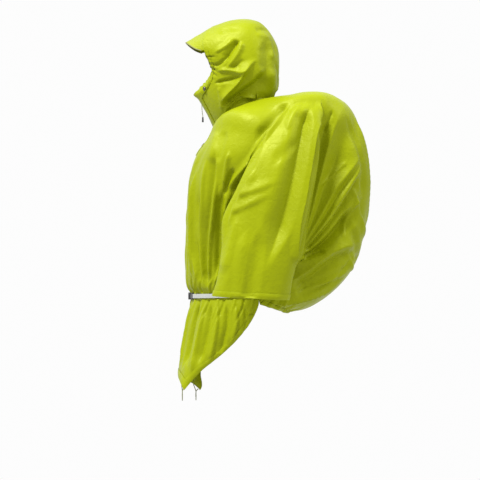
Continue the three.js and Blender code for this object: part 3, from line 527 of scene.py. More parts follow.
sleeveFolds = [
    fold([(118, 42), (78, -14), (42, -54), (22, -84)], -11, (17, 20), 0.45, 0.4, (0.2, 0.25)),
    fold([(127, 38), (87, -21), (46, -72), (16, -118), (-14, -156), (-44, -204)], 8, (16, 13), 0.35, 0.7,
         (0.2, 0.1)),
    fold([(159, 40), (128, -6), (112, -50)], 4, (13, 16), 0.2, 0.4, (0.2, 0.3)),
    fold([(158, -60), (112, -104), (66, -152)], -4, (24, 26), 0.1, 0.2, (0.35, 0.35)),
    fold([(184, 33), (173, -8), (163, -64), (145, -157), (124, -243), (102, -320), (72, -394), (44, -455)], -22,
         (32, 56), 0.35, 0.45, (0.1, 0.3)),
    fold([(216, 52), (210, 0), (199, -64), (184, -139), (165, -251), (150, -320), (138, -440)], 11,
         (17, 13), 0.7, 0.8, (0.08, 0.05)),
    fold([(24, -150), (-6, -205), (-38, -270), (-60, -330)], 6, (15, 15), -0.5, 0.6),
    fold([(-30, -290), (-51, -380), (-74, -470)], 5, (18, 24), 0.2),
    fold([(98, -190), (42, -212), (-30, -240)], 5, (30, 15), 0.35, 0.5, (0.55, 0.12)),
    fold([(84, -224), (14, -256), (-52, -290)], 5, (30, 15), 0.35, 0.5, (0.55, 0.12)),
    fold([(38, -330), (22, -430), (2, -540)], -6, (26, 30), 0, 0.1, (0.3, 0.05)),
    fold([(-2, -330), (-20, -420), (-30, -540)], 4, (24, 26), 0, 0.1, (0.3, 0.05)),
]
pleatFolds = [
    fold([(252, 20), (240, -14), (222, -48)], -6, (9, 8), 0.2, 0.5),
    fold([(340, -158), (320, -204), (286, -256), (250, -306), (206, -357), (166, -400)], -17, (20, 9), -0.45, 0.5,
         (0.2, 0.06)),
    fold([(332, -262), (309, -290), (280, -324), (243, -362), (199, -397), (158, -419)], -23, (38, 12), -0.25, 0.5,
         (0.25, 0.08)),
    fold([(302, -132), (256, -173), (214, -209)], 5, (9, 8), 0.5, 0.9, (0.15, 0.15)),
    fold([(352, -226), (322, -274), (295, -340), (286, -376)], 5, (11, 8), 0.3, 0.9),
    fold([(236, -398), (190, -414), (140, -438)], -10, (9, 8), -0.3, 0.6),
    fold([(318, -440), (262, -470), (200, -500), (136, -524)], -7, (15, 9), 0.2, 0.5),
    fold([(312, -448), (250, -484), (184, -506), (124, -520)], 5, (13, 9), 0.4, 0.7),
    fold([(290, -474), (226, -504), (160, -526)], -5, (10, 8), 0, 0.5),
    fold([(342, -412), (288, -478), (222, -526), (134, -554), (60, -556)], 8, (7, 7), 0.4, 0.9, (0.12, 0.1)),
    fold([(336, -400), (280, -464), (214, -512), (132, -542)], -5, (6, 6), 0, 0.6, (0.15, 0.15)),
]
# pleats that run from the top of the full back down to one place behind the sleeve: each line is a
# crest, and the cloth dips between it and the next one
backFan = {
    "crests": [
        [(216, 27), (204, -37), (190, -125), (175, -217), (157, -309), (145, -393), (137, -458)],
        [(282, 32), (256, -33), (238, -90), (221, -156), (205, -217), (183, -305), (168, -349), (148, -404)],
        [(346, -96), (322, -138), (287, -182), (256, -221), (229, -270), (199, -322), (168, -375), (146, -411)],
        [(357, -112), (344, -132), (326, -166), (300, -208), (273, -248), (243, -292), (208, -340), (166, -392),
         (144, -417)],
        [(348, -372), (325, -379), (300, -385), (256, -401), (216, -428), (164, -467), (118, -492)],
    ],
    "dips": [0.45, 0.42, 0.55, 0.5],     # where the lowest place lies between two crests
    "steep": [0.34, 0.34, 0.45, 0.22], "deepest": 27, "hollow": 1.3,
    "after": 70, "afterDeep": 24, "afterDip": 0.35, "fade": (0.24, 0.15),
}
trunkFolds = [
    fold([(-98, -92), (-103, -157), (-112, -253), (-121, -327), (-126, -413), (-120, -510)], -13, (15, 10), 0.35, 0.6,
         (0.15, 0.1)),
    fold([(-118, -110), (-130, -180), (-135, -253), (-140, -330), (-138, -420), (-130, -510)], 8, (13, 8), 0.4, 0.6),
    fold([(-90, -170), (-98, -253), (-106, -330), (-111, -376), (-113, -469), (-112, -510)], 10, (14, 9), 0.4, 0.7),
    fold([(-66, -200), (-78, -245), (-84, -320), (-88, -394), (-92, -500)], -13, (15, 12), 0.2, 0.4),
    fold([(-153, -330), (-152, -406), (-138, -496)], -8, (12, 7), 0, 0.5, (0.5, 0.1)),
    fold([(-162, -180), (-166, -300), (-164, -400), (-146, -513)], 6, (13, 7), 0.3, 0.5),
    fold([(-56, -100), (-66, -150), (-74, -210)], 8, (12, 9), -0.4, 0.8, (0.2, 0.2)),
    fold([(5, -137), (-28, -170), (-66, -219)], 10, (12, 9), -0.4, 0.7, (0.1, 0.2)),
    fold([(-40, -150), (-56, -190), (-72, -240)], -10, (12, 10), 0, 0.4),
    fold([(-10, -180), (-44, -228), (-66, -290)], -10, (12, 12), 0, 0.4),
    fold([(-30, -206), (-58, -250), (-74, -300)], 7, (8, 8), 0, 0.7),
    fold([(-92, -40), (-104, -90), (-110, -140)], 5, (18, 16), 0.3, 0.3),
    fold([(-66, -40), (-84, -100), (-90, -140)], -5, (18, 14), 0, 0.2),
    fold([(-60, -380), (-84, -450), (-100, -512)], 9, (11, 7), 0.3, 0.7),
    fold([(-36, -420), (-66, -480), (-92, -516)], -8, (12, 8)),
    fold([(-140, -545), (-165, -640), (-182, -750)], -7, (7, 15), 0.3, 0.5),
    fold([(-122, -545), (-143, -640), (-170, -770)], 9, (8, 17), 0.4, 0.7),
    fold([(-106, -548), (-122, -640), (-146, -740)], -10, (8, 16), 0.3, 0.5),
    fold([(-86, -550), (-94, -640), (-116, -740)], 8, (8, 17), 0.4, 0.7),
    fold([(-62, -552), (-62, -620), (-84, -710)], -8, (9, 16), 0.3, 0.5),
    fold([(-36, -556), (-32, -610), (-50, -680)], 7, (9, 16), 0.4, 0.7),
    fold([(-12, -556), (-4, -600), (-16, -650)], -6, (9, 14), 0.3, 0.5),
]
hoodFolds = [
    fold([(-28, 228), (-36, 216), (-50, 196), (-70, 164)], -13, (16, 16), 0.4, 0.6, (0.12, 0.2)),
    fold([(-16, 226), (-27, 196), (-44, 168), (-66, 140)], 8, (12, 15), -0.2, 0.6, (0.15, 0.25)),
    fold([(30, 172), (11, 158), (-10, 128), (-30, 98), (-52, 74), (-80, 42)], 14, (20, 16), 0.55, 0.8, (0.3, 0.15)),
    fold([(6, 146), (-18, 132), (-56, 137), (-96, 139)], 8, (14, 9), 0.4, 0.7, (0.3, 0.2)),
    fold([(-12, 122), (-45, 114), (-83, 107), (-102, 100)], -9, (14, 9), -0.3, 0.5, (0.2, 0.2)),
    fold([(66, 150), (50, 124), (26, 98), (-26, 68), (-78, 34)], -21, (46, 14), -0.42, 0.25, (0.3, 0.12)),
    fold([(30, 53), (-8, 57), (-34, 57), (-74, 31)], 7, (8, 8), 0.4, 0.8, (0.2, 0.12)),
    fold([(34, 50), (-12, 47), (-44, 34), (-68, 12)], -8, (8, 8), 0, 0.5),
    fold([(46, 240), (60, 200), (62, 156), (52, 116)], -11, (46, 40), -0.15, 0.2, (0.35, 0.3)),
    fold([(-88, 94), (-82, 60), (-78, 20)], 4, (12, 12), -0.3, 0.5),
    fold([(-64, 176), (-84, 158), (-104, 152)], -6, (12, 8), 0, 0.4),
    fold([(-34, 236), (-60, 214), (-82, 200), (-102, 190)], 5, (15, 10), 0.4, 0.6, (0.25, 0.2)),
    fold([(-12, 172), (-34, 152), (-52, 146)], -4, (10, 9), 0, 0.4),
    fold([(-90, 250), (-60, 264), (-20, 264)], -3, (14, 14), 0, 0.2),
    fold([(20, 262), (46, 262), (66, 262)], -5, (9, 9), 0, 0.5),
    fold([(24, 246), (44, 244), (70, 236)], 4, (10, 10), 0.3, 0.7),
    fold([(62, 236), (76, 206), (82, 170)], 4, (12, 12), 0.4, 0.5),
]
# folds of the front and the rear are drawn as (x, z) places on those views
frontFolds = [
    fold([(-122, -150), (-114, -300), (-98, -504)], 8, (22, 8), 0.3, 0.5),
    fold([(-84, -230), (-86, -360), (-74, -506)], -7, (19, 7), 0, 0.4),
    fold([(-54, -170), (-58, -320), (-48, -506)], 6, (20, 7), -0.3, 0.5),
    fold([(-16, -300), (-22, -400), (-24, -508)], -4, (13, 6)),
    fold([(24, -250), (18, -380), (12, -508)], 4, (15, 6), 0.2, 0.4),
    fold([(62, -190), (54, -340), (48, -506)], -7, (19, 7), 0, 0.4),
    fold([(96, -140), (90, -300), (78, -504)], 8, (22, 8), 0.3, 0.5),
    fold([(128, -210), (118, -340), (106, -500)], -7, (18, 8)),
    fold([(-128, -70), (-96, -130), (-72, -210)], 4, (30, 24), 0.2, 0.3, (0.45, 0.45)),
    fold([(122, -64), (92, -136), (70, -220)], -4, (30, 24), 0, 0.3, (0.45, 0.45)),
    fold([(86, -90), (52, -170), (36, -260)], 3, (26, 20), 0.2, 0.3, (0.45, 0.45)),
    fold([(-104, -545), (-98, -640), (-106, -760)], 7, (8, 17), 0.3, 0.5),
    fold([(-62, -545), (-60, -650), (-52, -740)], -6, (8, 16), 0, 0.4),
    fold([(-26, -548), (-22, -640), (-32, -730)], 5, (7, 16), 0.3, 0.5),
    fold([(14, -548), (20, -660), (14, -740)], -6, (8, 17), 0, 0.4),
    fold([(50, -546), (48, -640), (60, -750)], 6, (8, 16), 0.3, 0.5),
    fold([(90, -545), (94, -650), (92, -760)], -7, (8, 16), 0, 0.4),
]
rearFolds = [
    fold([(-152, 14), (-132, -84), (-98, -204), (-60, -330)], 9, (15, 26), 0.4, 0.6),
    fold([(-112, 24), (-98, -90), (-72, -214)], -7, (15, 24), 0, 0.3),
    fold([(-46, 8), (-50, -120), (-32, -244)], 4, (18, 28), 0.2, 0.4),
    fold([(28, 12), (22, -104), (34, -226)], -4, (18, 26)),
    fold([(96, 20), (84, -92), (62, -232), (34, -352)], 8, (16, 26), -0.4, 0.6),
    fold([(142, 10), (122, -112), (102, -244)], -8, (16, 22), 0, 0.3),
    fold([(158, -190), (116, -286), (54, -372)], 8, (18, 20), -0.4, 0.6),
    fold([(-160, -180), (-122, -300), (-62, -392)], 8, (18, 20), 0.4, 0.6),
    fold([(154, -318), (94, -398), (22, -440)], -9, (22, 18), 0, 0.3),
    fold([(-154, -326), (-102, -410), (-22, -452)], -9, (22, 18), 0, 0.3),
    fold([(150, -380), (104, -430), (48, -462)], 6, (14, 12), -0.3, 0.7),
    fold([(-150, -388), (-110, -438), (-56, -470)], 6, (14, 12), 0.3, 0.7),
    fold([(60, 170), (34, 120), (-8, 92)], -5, (14, 12), 0, 0.3),
    fold([(-58, 140), (-20, 104), (26, 78)], 5, (13, 10), 0.3, 0.5),
]
endView = {"facing": (0.55, 0.85)}
farSide = {"shift": (10, -14), "share": 0.85, "facing": (0.12, 0.45)}
relief = {"sleeve": 1.15, "pleat": 1.0, "trunk": 1.0, "hood": 1.1}
crumple = {"height": 0.9, "size": (40, 40, 110), "ridge": 1.6, "fine": 0.35, "finer": 2.7}


def alongPath(spots, path):
    # distance from each spot to the path, the side it lies on, and how far along the path it is, 0 to 1
    best = np.full(len(spots), 1e9)
    sign, place = np.ones(len(spots)), np.zeros(len(spots))
    gone = walked(path)
    for start, end, before, after in zip(path[:-1], path[1:], gone[:-1], gone[1:]):
        run = (end - start) / max(after - before, 1e-6)
        reach = spots - start
        t = np.clip(reach @ run, 0, after - before)
        gap = np.linalg.norm(reach - t[:, None] * run, axis=1)
        nearer = gap < best
        best[nearer] = gap[nearer]
        if path.shape[1] == 2:
            sign[nearer] = np.sign(run[0] * reach[nearer, 1] - run[1] * reach[nearer, 0] + 1e-9)
        place[nearer] = (before + t[nearer]) / gone[-1]
    return best, sign, place


def fadeEnds(place, fadeIn, fadeOut):
    return smooth(place, 0, fadeIn) * (1 - smooth(place, 1 - fadeOut, 1))


def smoothPath(knots):
    return through(np.array(knots, float), [4] * (len(knots) - 1))


def foldLift(spots, one):
    path = smoothPath(one["path"])
    widest = max(one["wide"]) * (1 + abs(one["lean"]))
    low, high = path.min(axis=0) - widest, path.max(axis=0) + widest
    close = np.all((spots > low) & (spots < high), axis=1)
    lift = np.zeros(len(spots))
    if close.any():
        gap, sign, place = alongPath(spots[close], path)
        strength = fadeEnds(place, *one["fade"])
        wide = (one["wide"][0] + (one["wide"][1] - one["wide"][0]) * place) * (0.4 + 0.6 * strength)
        t = np.clip(gap / (wide * (1 - sign * one["lean"])), 0, 1)
        shape = (1 - one["crisp"]) * (1 - t * t) ** 2 + one["crisp"] * (1 - t) ** 2
        lift[close] = one["depth"] * shape * strength
    return lift


def fanLift(spots, shift):
    measured = []
    for path in backFan["crests"]:
        gap, sign, place = alongPath(spots, smoothPath(np.array(path, float) + shift))
        measured.append((gap, sign, fadeEnds(place, *backFan["fade"])))
    lift = np.zeros(len(spots))
    for (gap, sign, strength), (nextGap, nextSign, nextStrength), dip, steep in zip(
            measured, measured[1:], backFan["dips"], backFan["steep"]):
        span = np.maximum(gap + nextGap, 1e-3)
        t = gap / span
        level = np.where(t < dip, 1 - t / dip, (t - dip) / (1 - dip)) ** backFan["hollow"]
        depth = np.minimum(backFan["deepest"], steep * span) * (strength * (1 - t) + nextStrength * t)
        lift = np.where((sign > 0) & (nextSign < 0), -depth * (1 - level), lift)
    # the cloth beyond the last crest dips and comes back to its base
    gap, sign, strength = measured[-1]
    t = np.clip(gap / backFan["after"], 0, 1)
    level = np.where(t < backFan["afterDip"], 1 - t / backFan["afterDip"], smooth(t, backFan["afterDip"], 1))
    return np.where(sign > 0, -backFan["afterDeep"] * (1 - level) * strength, lift)


# how much of each kind of fold a place of the cloth takes
onBody = ~onHood
groupWeight = {
    "sleeve": onBody * np.where(sleeveShare > 0, 1, smooth(base[:, 2], -200, -130) + (base[:, 1] > 120)).clip(0, 1),
    "pleat": onBody * 1.0,
    "fan": onBody * (1 - smooth(sleeveShare, 0.01, 0.12)),
    "trunk": onBody * (1 - smooth(sleeveShare, 0.01, 0.14)),
    "hood": onHood * 1.0,
}
sideSpots = base[:, 1:]
sideView = smooth(np.abs(baseNormals[:, 0]), *farSide["facing"])
nearFacing = (base[:, 0] > 0) & (baseNormals[:, 0] > 0)
farFacing = (base[:, 0] < 0) & (baseNormals[:, 0] < 0)
bothSides = ((nearFacing, np.zeros(2), 1.0), (farFacing, np.array(farSide["shift"]), farSide["share"]))
lifts = np.zeros(len(base))
for kind, group in (("sleeve", sleeveFolds), ("pleat", pleatFolds), ("trunk", trunkFolds), ("hood", hoodFolds)):
    for one in group:
        for facing, shift, share in bothSides:
            placed = dict(one, path=np.array(one["path"], float) + shift, depth=one["depth"] * relief[kind] * share)
            lifts[facing] += foldLift(sideSpots[facing], placed) * (sideView * groupWeight[kind])[facing]
for facing, shift, share in bothSides:
    lifts[facing] += share * fanLift(sideSpots[facing], shift) * (sideView * groupWeight["fan"])[facing]
for group, sign in ((frontFolds, -1), (rearFolds, 1)):
    facing = sign * baseNormals[:, 1] > endView["facing"][0]
    weight = smooth(sign * baseNormals[facing, 1], *endView["facing"]) * (1 - smooth(sleeveShare[facing], 0.01, 0.1))
    for one in group:
        lifts[facing] += foldLift(base[facing][:, [0, 2]], one) * weight
lifts += crumple["height"] * np.array([
    0.5 - abs(noise.noise(Vector(spot))) * crumple["ridge"]
    + crumple["fine"] * noise.noise(Vector(spot * crumple["finer"]))
    for spot in base / np.array(crumple["size"])])
print("side, front and rear folds placed")


# gathers that follow the cloth's own lines: round the belt, the face opening and the waist of the back
gathers = {
    "beltAbove": dict(count=24, reach=(50, 130), depth=(3.5, 7.0), wide=(5.0, 8.5), fade=(0.02, 0.75)),
    "beltBelow": dict(count=22, reach=(40, 130), depth=(2.5, 5.0), wide=(4.5, 8.5), fade=(0.02, 0.75)),
    "waistBack": dict(count=26, reach=(40, 110), depth=(2.0, 4.5), wide=(5.0, 8.0), fade=(0.02, 0.75)),
    "faceEdge": dict(count=18, reach=(18, 42), depth=(1.8, 3.6), wide=(3.2, 4.8), fade=(0.02, 0.6),
                     columns=(0.10, 0.42)),
}
chance = np.random.default_rng(7)


def walkLine(grid, row, column, step, reach):
    # points of the cloth from a place on its grid, going step rows at a time until reach is covered
    points, gone = [grid[row, column]], 0.0
    while 0 <= row + step < len(grid) and gone < reach:
        row += step
        gone += np.linalg.norm(grid[row, column] - points[-1])
        points.append(grid[row, column])
    return np.array(points)


def gatherLift(points, setting, at):
    # every second gather goes in
    depth = (1 if at % 2 else -1) * chance.uniform(*setting["depth"])
    wide = chance.uniform(*setting["wide"])
    thinned = points[:: max(1, len(points) // 10)]
    return foldLift(base, fold(thinned, depth, (wide, wide * 1.6), 0.0, 0.4, setting["fade"]))


frontGrid, backGrid = panels["front_panel"]["rows"], panels["back_panel"]["rows"]
beltRow = weaveGrid["beltRow"] * fine
for kind, grid, row, step, inset in (("beltAbove", frontGrid, beltRow, -1, 6),
                                     ("beltBelow", frontGrid, beltRow + fine, 1, 8),
                                     ("waistBack", backGrid, len(backGrid) - 1, -1, 6)):
    setting, last = gathers[kind], grid.shape[1] - 1
    for at, column in enumerate(np.linspace(inset, last - inset, setting["count"])):
        column += chance.uniform(-0.35, 0.35) * (last + 1) / setting["count"]
        points = walkLine(grid, row, int(np.clip(column, 0, last)), step, chance.uniform(*setting["reach"]))
        if len(points) > 4:
            lifts += gatherLift(points, setting, at)
hoodGrid, setting = panels["hood_left"]["rows"], gathers["faceEdge"]
for side in (1, -1):
    for at in range(setting["count"]):
        first, span = setting["columns"]
        column = int((first + span * at / setting["count"]) * hoodGrid.shape[1] + chance.integers(-1, 2))
        points = walkLine(hoodGrid, 0, column, 1, chance.uniform(*setting["reach"])) * [side, 1, 1]
        lifts += gatherLift(points, setting, at)
print("gathers placed")


# the far corner of the front flap hangs lower and further back than the near one
farCorner = {"back": 45, "down": 9, "startZ": -750}
folded = base + baseNormals * lifts[:, None]
hemCorner = frontSections[-1]["edge"]
swing = np.where((base[:, 0] < 0) & (folded[:, 2] < farCorner["startZ"]),
                 smooth(-folded[:, 2], -farCorner["startZ"], -hemCorner[2])
                 * np.clip(-folded[:, 0] / hemCorner[0], 0, 1), 0)
folded[:, 1] += farCorner["back"] * swing
folded[:, 2] -= farCorner["down"] * swing
seamNormals = pointNormals(folded, allFaces)


def meshPiece(name, vertices, faces, material):
    data = bpy.data.meshes.new(name)
    data.from_pydata((vertices * millimetre).tolist(), [], faces.tolist())
    data.materials.append(material)
    data.polygons.foreach_set("use_smooth", [True] * len(data.polygons))
    data.update()
    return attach(link(bpy.data.objects.new(name, data)), "root")


def clothShell(name, points, normals, faces, half):
    # both faces of the cloth, half its thickness to each side, and the rims that join them,
    # shaded with the given normals so that the shading runs on over the seams
    count = len(points)
    directed = edgesOf(faces)
    _, inverse, counts = np.unique(np.sort(directed, axis=1), axis=0, return_inverse=True, return_counts=True)
    rim = directed[counts[inverse.reshape(-1)] == 1]
    rims = np.stack([rim[:, 1], rim[:, 0], rim[:, 0] + count, rim[:, 1] + count], axis=1)
    vertices = np.concatenate([points + normals * half, points - normals * half])
    piece = meshPiece(name, vertices, np.concatenate([faces, faces[:, ::-1] + count, rims]), clothFinish)
    piece.data.normals_split_custom_set_from_vertices(np.concatenate([normals, -normals]).tolist())
    return piece


def patchShell(name, rows, facing, half):
    # a shell from rows of places; facing says which way its outer face looks
    faces, flat = gridFaces(gridIndex(rows)), rows.reshape(-1, 3)
    normals = pointNormals(flat, faces)
    if (normals.reshape(rows.shape) * facing).sum() < 0:
        faces, normals = faces[:, ::-1], -normals
    return clothShell(name, flat, normals, faces, half), normals.reshape(rows.shape)


def tubePiece(name, loops, material, joined):
    # a tube from a loop of places at each station; where it is joined, the last station meets the first
    index = gridIndex(loops)
    if joined:
        index = np.concatenate([index, index[:1]])
    piece = meshPiece(name, loops.reshape(-1, 3), gridFaces(index, True), material)
    return piece


# each cut piece: a shell of its cloth as it hangs, with its count of faces and its area printed
halfThick = {"panel": 0.65, "band": 0.35, "flap": 0.6}
for name, part in panels.items():
    faces = gridFaces(part["index"], part["closed"])
    used, local = np.unique(faces, return_inverse=True)
    piece = clothShell(name + "_cloth", folded[used], seamNormals[used], local.reshape(faces.shape),
                       halfThick["panel"])
    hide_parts(name)
    part["piece"], part["trims"] = piece, []
    squareMetres = np.linalg.norm(faceCrosses(folded, faces), axis=1).sum() / 2e6
    print(f"{name}: {len(faces)} faces, {squareMetres:.3f} square metres")


# bands that follow an edge of a panel: hems, the casing round the face and the elastic one at the waist
def edgeGrids(name):
    index = panels[name]["index"]
    return folded[index], seamNormals[index]


def inFromEdge(points, normals, distances):
    # rows of places that lie the given distances in from the first row of a grid
    lines = [(walked(points[:, column]), points[:, column], normals[:, column]) for column in range(points.shape[1])]
    return (np.stack([sample(distances, gone, line) for gone, line, _ in lines], axis=1),
            np.stack([sample(distances, gone, turn) for gone, _, turn in lines], axis=1))


def closerTogether(rows, normals, step):
    # the same rows with places every step along them
    gone = walked(rows[0])
    wanted = np.linspace(0, gone[-1], max(int(gone[-1] / step), 4))
    rows, normals = (np.stack([sample(wanted, gone, row) for row in grid]) for grid in (rows, normals))
    return rows, normals, wanted


def wander(wanted, spacing):
    # an uneven wave along a line, about one crest to each spacing
    knots = np.arange(-1, wanted[-1] / spacing + 3) * spacing
    heights = chance.uniform(-1, 1, len(knots)) * np.where(np.arange(len(knots)) % 2, 1, -1) * 0.6 + 0.2
    places = knots + chance.uniform(-0.3, 0.3, len(knots)) * spacing
    return np.interp(wanted, np.sort(places), heights)


seamLines = []


def edgeBand(name, panel, points, normals, setting, stitchedRows):
    distances = np.linspace(0, setting["width"], setting["rows"])
    rows, facing, wanted = closerTogether(*inFromEdge(points, normals, distances), setting["step"])
    across = distances / setting["width"]
    pucker = np.outer(1 - np.abs(2 * across - 1) * setting["flatEdges"], wander(wanted, setting["pucker"]))
    swell = np.sin(across * math.pi)[:, None] * setting["bulge"]
    lift = setting["lift"] + swell + pucker * setting["puckerDepth"]
    rows = rows + facing * lift[:, :, None]
    band, turn = patchShell(name, rows, facing, halfThick["band"])
    panels[panel]["trims"].append(band)
    seamLines.extend((rows[row], turn[row]) for row in stitchedRows)


def seamOn(points, normals, half):
    seamLines.append((points + half * normals, normals))


hem = dict(width=20, rows=11, step=3.0, pucker=11.0, puckerDepth=1.2, flatEdges=0.3, bulge=1.0, lift=1.3)
faceCasing = dict(width=12, rows=9, step=1.6, pucker=7.0, puckerDepth=1.7, flatEdges=0.25, bulge=1.3, lift=1.1)
waistBand = dict(width=16, rows=9, step=2.0, pucker=8.0, puckerDepth=1.6, flatEdges=0.25, bulge=2.2, lift=1.1)
for name, panel in (("cuffHemLeft", "sleeve_left"), ("cuffHemRight", "sleeve_right")):
    points, normals = (np.concatenate([grid, grid[:, :1]], axis=1)[::-1] for grid in edgeGrids(panel))
    edgeBand(name, panel, points, normals, dict(hem, width=18), (1, -2))
points, normals = edgeGrids("front_panel")
edgeBand("skirtHemLow", "front_panel", points[::-1], normals[::-1], dict(hem, width=22), (-2,))
belowBelt = (weaveGrid["beltRow"] + 3) * fine
for name, order in (("skirtHemLeft", -1), ("skirtHemRight", 1)):
    side, turn = (grid[belowBelt:, ::order].transpose(1, 0, 2) for grid in (points, normals))
    edgeBand(name, "front_panel", side, turn, hem, (-2,))
for name, panel, order in (("faceCasingLeft", "hood_left", 1), ("faceCasingRight", "hood_right", -1)):
    points, normals = (grid[:, ::order][:, 3:neckFrontCount + 1] for grid in edgeGrids(panel))
    edgeBand(name, panel, points, normals, faceCasing, (-1,))
points, normals = edgeGrids("brim")
for row in (4, 6):
    seamOn(points[row], normals[row], halfThick["panel"])
for panel, column in (("hood_left", -4), ("hood_right", 3)):
    points, normals = edgeGrids(panel)
    seamOn(points[:, column], normals[:, column], halfThick["panel"])
points, normals = edgeGrids("back_panel")
edgeBand("waistCasing", "back_panel", points[::-1], normals[::-1], waistBand, (-1,))

# small gussets close the sides between the front and the back, just above the waist casing
gusset = {"rows": 11, "down": 2.4, "bulge": 2.0, "wrinkle": 1.2, "wrinkles": 6}
frontPoints, backPoints = (folded[panels[name]["index"]] for name in ("front_panel", "back_panel"))
seamEnd = underarm + weaveGrid["sideSeamRows"] * fine
backSeamEnd = backUnderarm + weaveGrid["sideSeamRows"] * fine
span = min(int(gusset["down"] * fine), len(backPoints) - 1 - backSeamEnd)
share = np.linspace(0, 1, gusset["rows"])[:, None]
push = (gusset["bulge"] * np.sin(share * math.pi)
        + gusset["wrinkle"] * np.sin(share * math.pi * gusset["wrinkles"])) * np.linspace(0, 1, span + 1)
for name, side, frontColumn, backColumn in (("waistGussetLeft", 1, -1, 0), ("waistGussetRight", -1, 0, -1)):
    start = frontPoints[seamEnd:seamEnd + span + 1, frontColumn]
    end = backPoints[backSeamEnd:backSeamEnd + span + 1, backColumn]
    rows = start + (end - start) * share[:, :, None]
    rows[:, :, 0] += side * push
    patch, _ = patchShell(name, rows, (side, 0, 0), halfThick["panel"])
    panels["back_panel"]["trims"].append(patch)
print("hems, casings and gussets made")


# peak binding: a tape folded over the peak's front edge; its dark olive colour is painted shade, standing for the
# shadowed underside of the peak
shadeTape = {"reach": 1.9, "thick": 1.3, "sides": 10, "step": 2.0}
points, normals = edgeGrids("brim")
frontEdge, turn, _ = closerTogether(points[-1:], normals[-1:], shadeTape["step"])
frontEdge, turn = frontEdge[0], turn[0]
across = np.cross(unit(np.gradient(frontEdge, axis=0)), turn)
loops = np.stack([frontEdge + across * (shadeTape["reach"] * math.cos(a)) + turn * (shadeTape["thick"] * math.sin(a))
                  for a in np.linspace(0, 2 * math.pi, shadeTape["sides"], endpoint=False)], axis=1)
shadedPeakBinding = tubePiece("shadedPeakBinding", loops, peakShadeFinish, False)
panels["brim"]["trims"].append(shadedPeakBinding)


# storm flap over the closing, wider at the collar where its stud is
flap = {
    "halfWidth": 27, "tabHalfWidth": 76,       # tab: the near half at the collar
    "narrows": (2, 5),                         # rows of the solids between which the tab ends
    "lift": 2.7, "collarLift": 4.2, "edgeLift": 1.35, "flatShare": 0.82,
    "farCells": 12, "nearCells": 24, "reachCells": 9, "seamColumns": (2, -4), "seamRow": -3, "seamProud": 0.75,
}
reach = flap["reachCells"] * fine
closing, closingTurn = (np.concatenate([right[:, -reach - 1:], left[:, 1:reach + 1]], axis=1)
                        for right, left in zip(edgeGrids("hood_right"), edgeGrids("hood_left")))
chest, chestTurn = (grid[1:weaveGrid["flapEndRow"] * fine + 1] for grid in edgeGrids("front_panel"))
share = np.concatenate([np.linspace(-1, 0, flap["farCells"] + 1), np.linspace(0, 1, flap["nearCells"] + 1)[1:]])
edgeShare = smooth(np.abs(share), flap["flatShare"], 1.0)
flapRows, flapFacing = [], []
for at, (line, turn) in list(enumerate([*zip(closing, closingTurn), *zip(chest, chestTurn)]))[::2]:
    narrowed = smooth(np.array(at / fine), *flap["narrows"])
    nearHalf = flap["tabHalfWidth"] + (flap["halfWidth"] - flap["tabHalfWidth"]) * narrowed
    x = np.where(share < 0, share * flap["halfWidth"], share * nearHalf)
    middleLift = flap["collarLift"] + (flap["lift"] - flap["collarLift"]) * narrowed
    lift = middleLift + (flap["edgeLift"] - middleLift) * edgeShare
    place, facing = (sample(x, line[:, 0], grid) for grid in (line, turn))
    flapRows.append(place + facing * lift[:, None])
    flapFacing.append(facing)
flapRows = np.array(flapRows)
stormFlap, flapTurn = patchShell("stormFlap", flapRows, np.array(flapFacing), halfThick["flap"])
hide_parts("storm_flap")
flapTurn = flapTurn * flap["seamProud"]
for column in flap["seamColumns"]:
    seamOn(flapRows[:, column], flapTurn[:, column], 1)
seamOn(flapRows[flap["seamRow"]], flapTurn[flap["seamRow"]], 1)
print("storm flap made")


# short tape tabs at the nape, one to a side, standing a little off the cloth in their middle
napeTab = {"y": 27, "z": 62, "wide": 6.0, "long": 15.0, "thick": 1.1, "lift": 1.4, "loop": 1.8, "rows": 13}
along = np.linspace(-0.5, 0.5, napeTab["rows"])
heights = napeTab["z"] + along * napeTab["long"]
stand = napeTab["lift"] + napeTab["loop"] * np.cos(along * math.pi)
for name, panel, side in (("napeTabLeft", "hood_left", 1), ("napeTabRight", "hood_right", -1)):
    points, normals = (grid.reshape(-1, 3) for grid in edgeGrids(panel))
    outside = normals[:, 0] * side > 0.2
    points, normals = points[outside], normals[outside]
    nearest = [np.argmin(np.hypot(points[:, 1] - napeTab["y"], points[:, 2] - z)) for z in heights]
    turn = unit(normals[nearest].mean(axis=0))
    depth = np.polyfit(heights, points[nearest, 0], 2)
    middleLine = np.stack([np.polyval(depth, heights), np.full(len(heights), napeTab["y"]), heights], axis=1)
    across = unit(np.cross(turn, (0, 0, 1))) * napeTab["wide"] / 2
    rows = (middleLine + np.outer(stand, turn))[:, None] + np.outer((-1, -0.9, 0, 0.9, 1), across)
    tab, _ = patchShell(name, rows, turn, napeTab["thick"] / 2)
    panels[panel]["trims"].append(tab)

# rolled rims round the press studs
studRim = {"around": 32, "tube": 8, "thick": 0.75, "inset": 0.3}
for name in ("snap_collar", "snap_chest"):
    corners = cornersOf(name)
    centre = corners.mean(axis=0)
    axes = np.linalg.svd(corners - centre)[2]
    radius = np.linalg.norm((corners - centre) @ axes[:2].T, axis=1).max() - studRim["inset"]
    around = np.linspace(0, 2 * math.pi, studRim["around"], endpoint=False)
    out = np.outer(np.cos(around), axes[0]) + np.outer(np.sin(around), axes[1])
    thick = studRim["thick"]
    loops = np.stack([centre + out * (radius + thick * math.cos(a)) + axes[2] * thick * math.sin(a)
                      for a in np.linspace(0, 2 * math.pi, studRim["tube"], endpoint=False)], axis=1)
    tubePiece(name + "_rim", loops, metalFinish, True)
print("nape tabs and stud rims made")


threads = {"pitch": 3.6, "length": 2.6, "radius": 0.3, "proud": 0.35, "sunk": -0.1, "endSize": 0.6, "sides": 5}


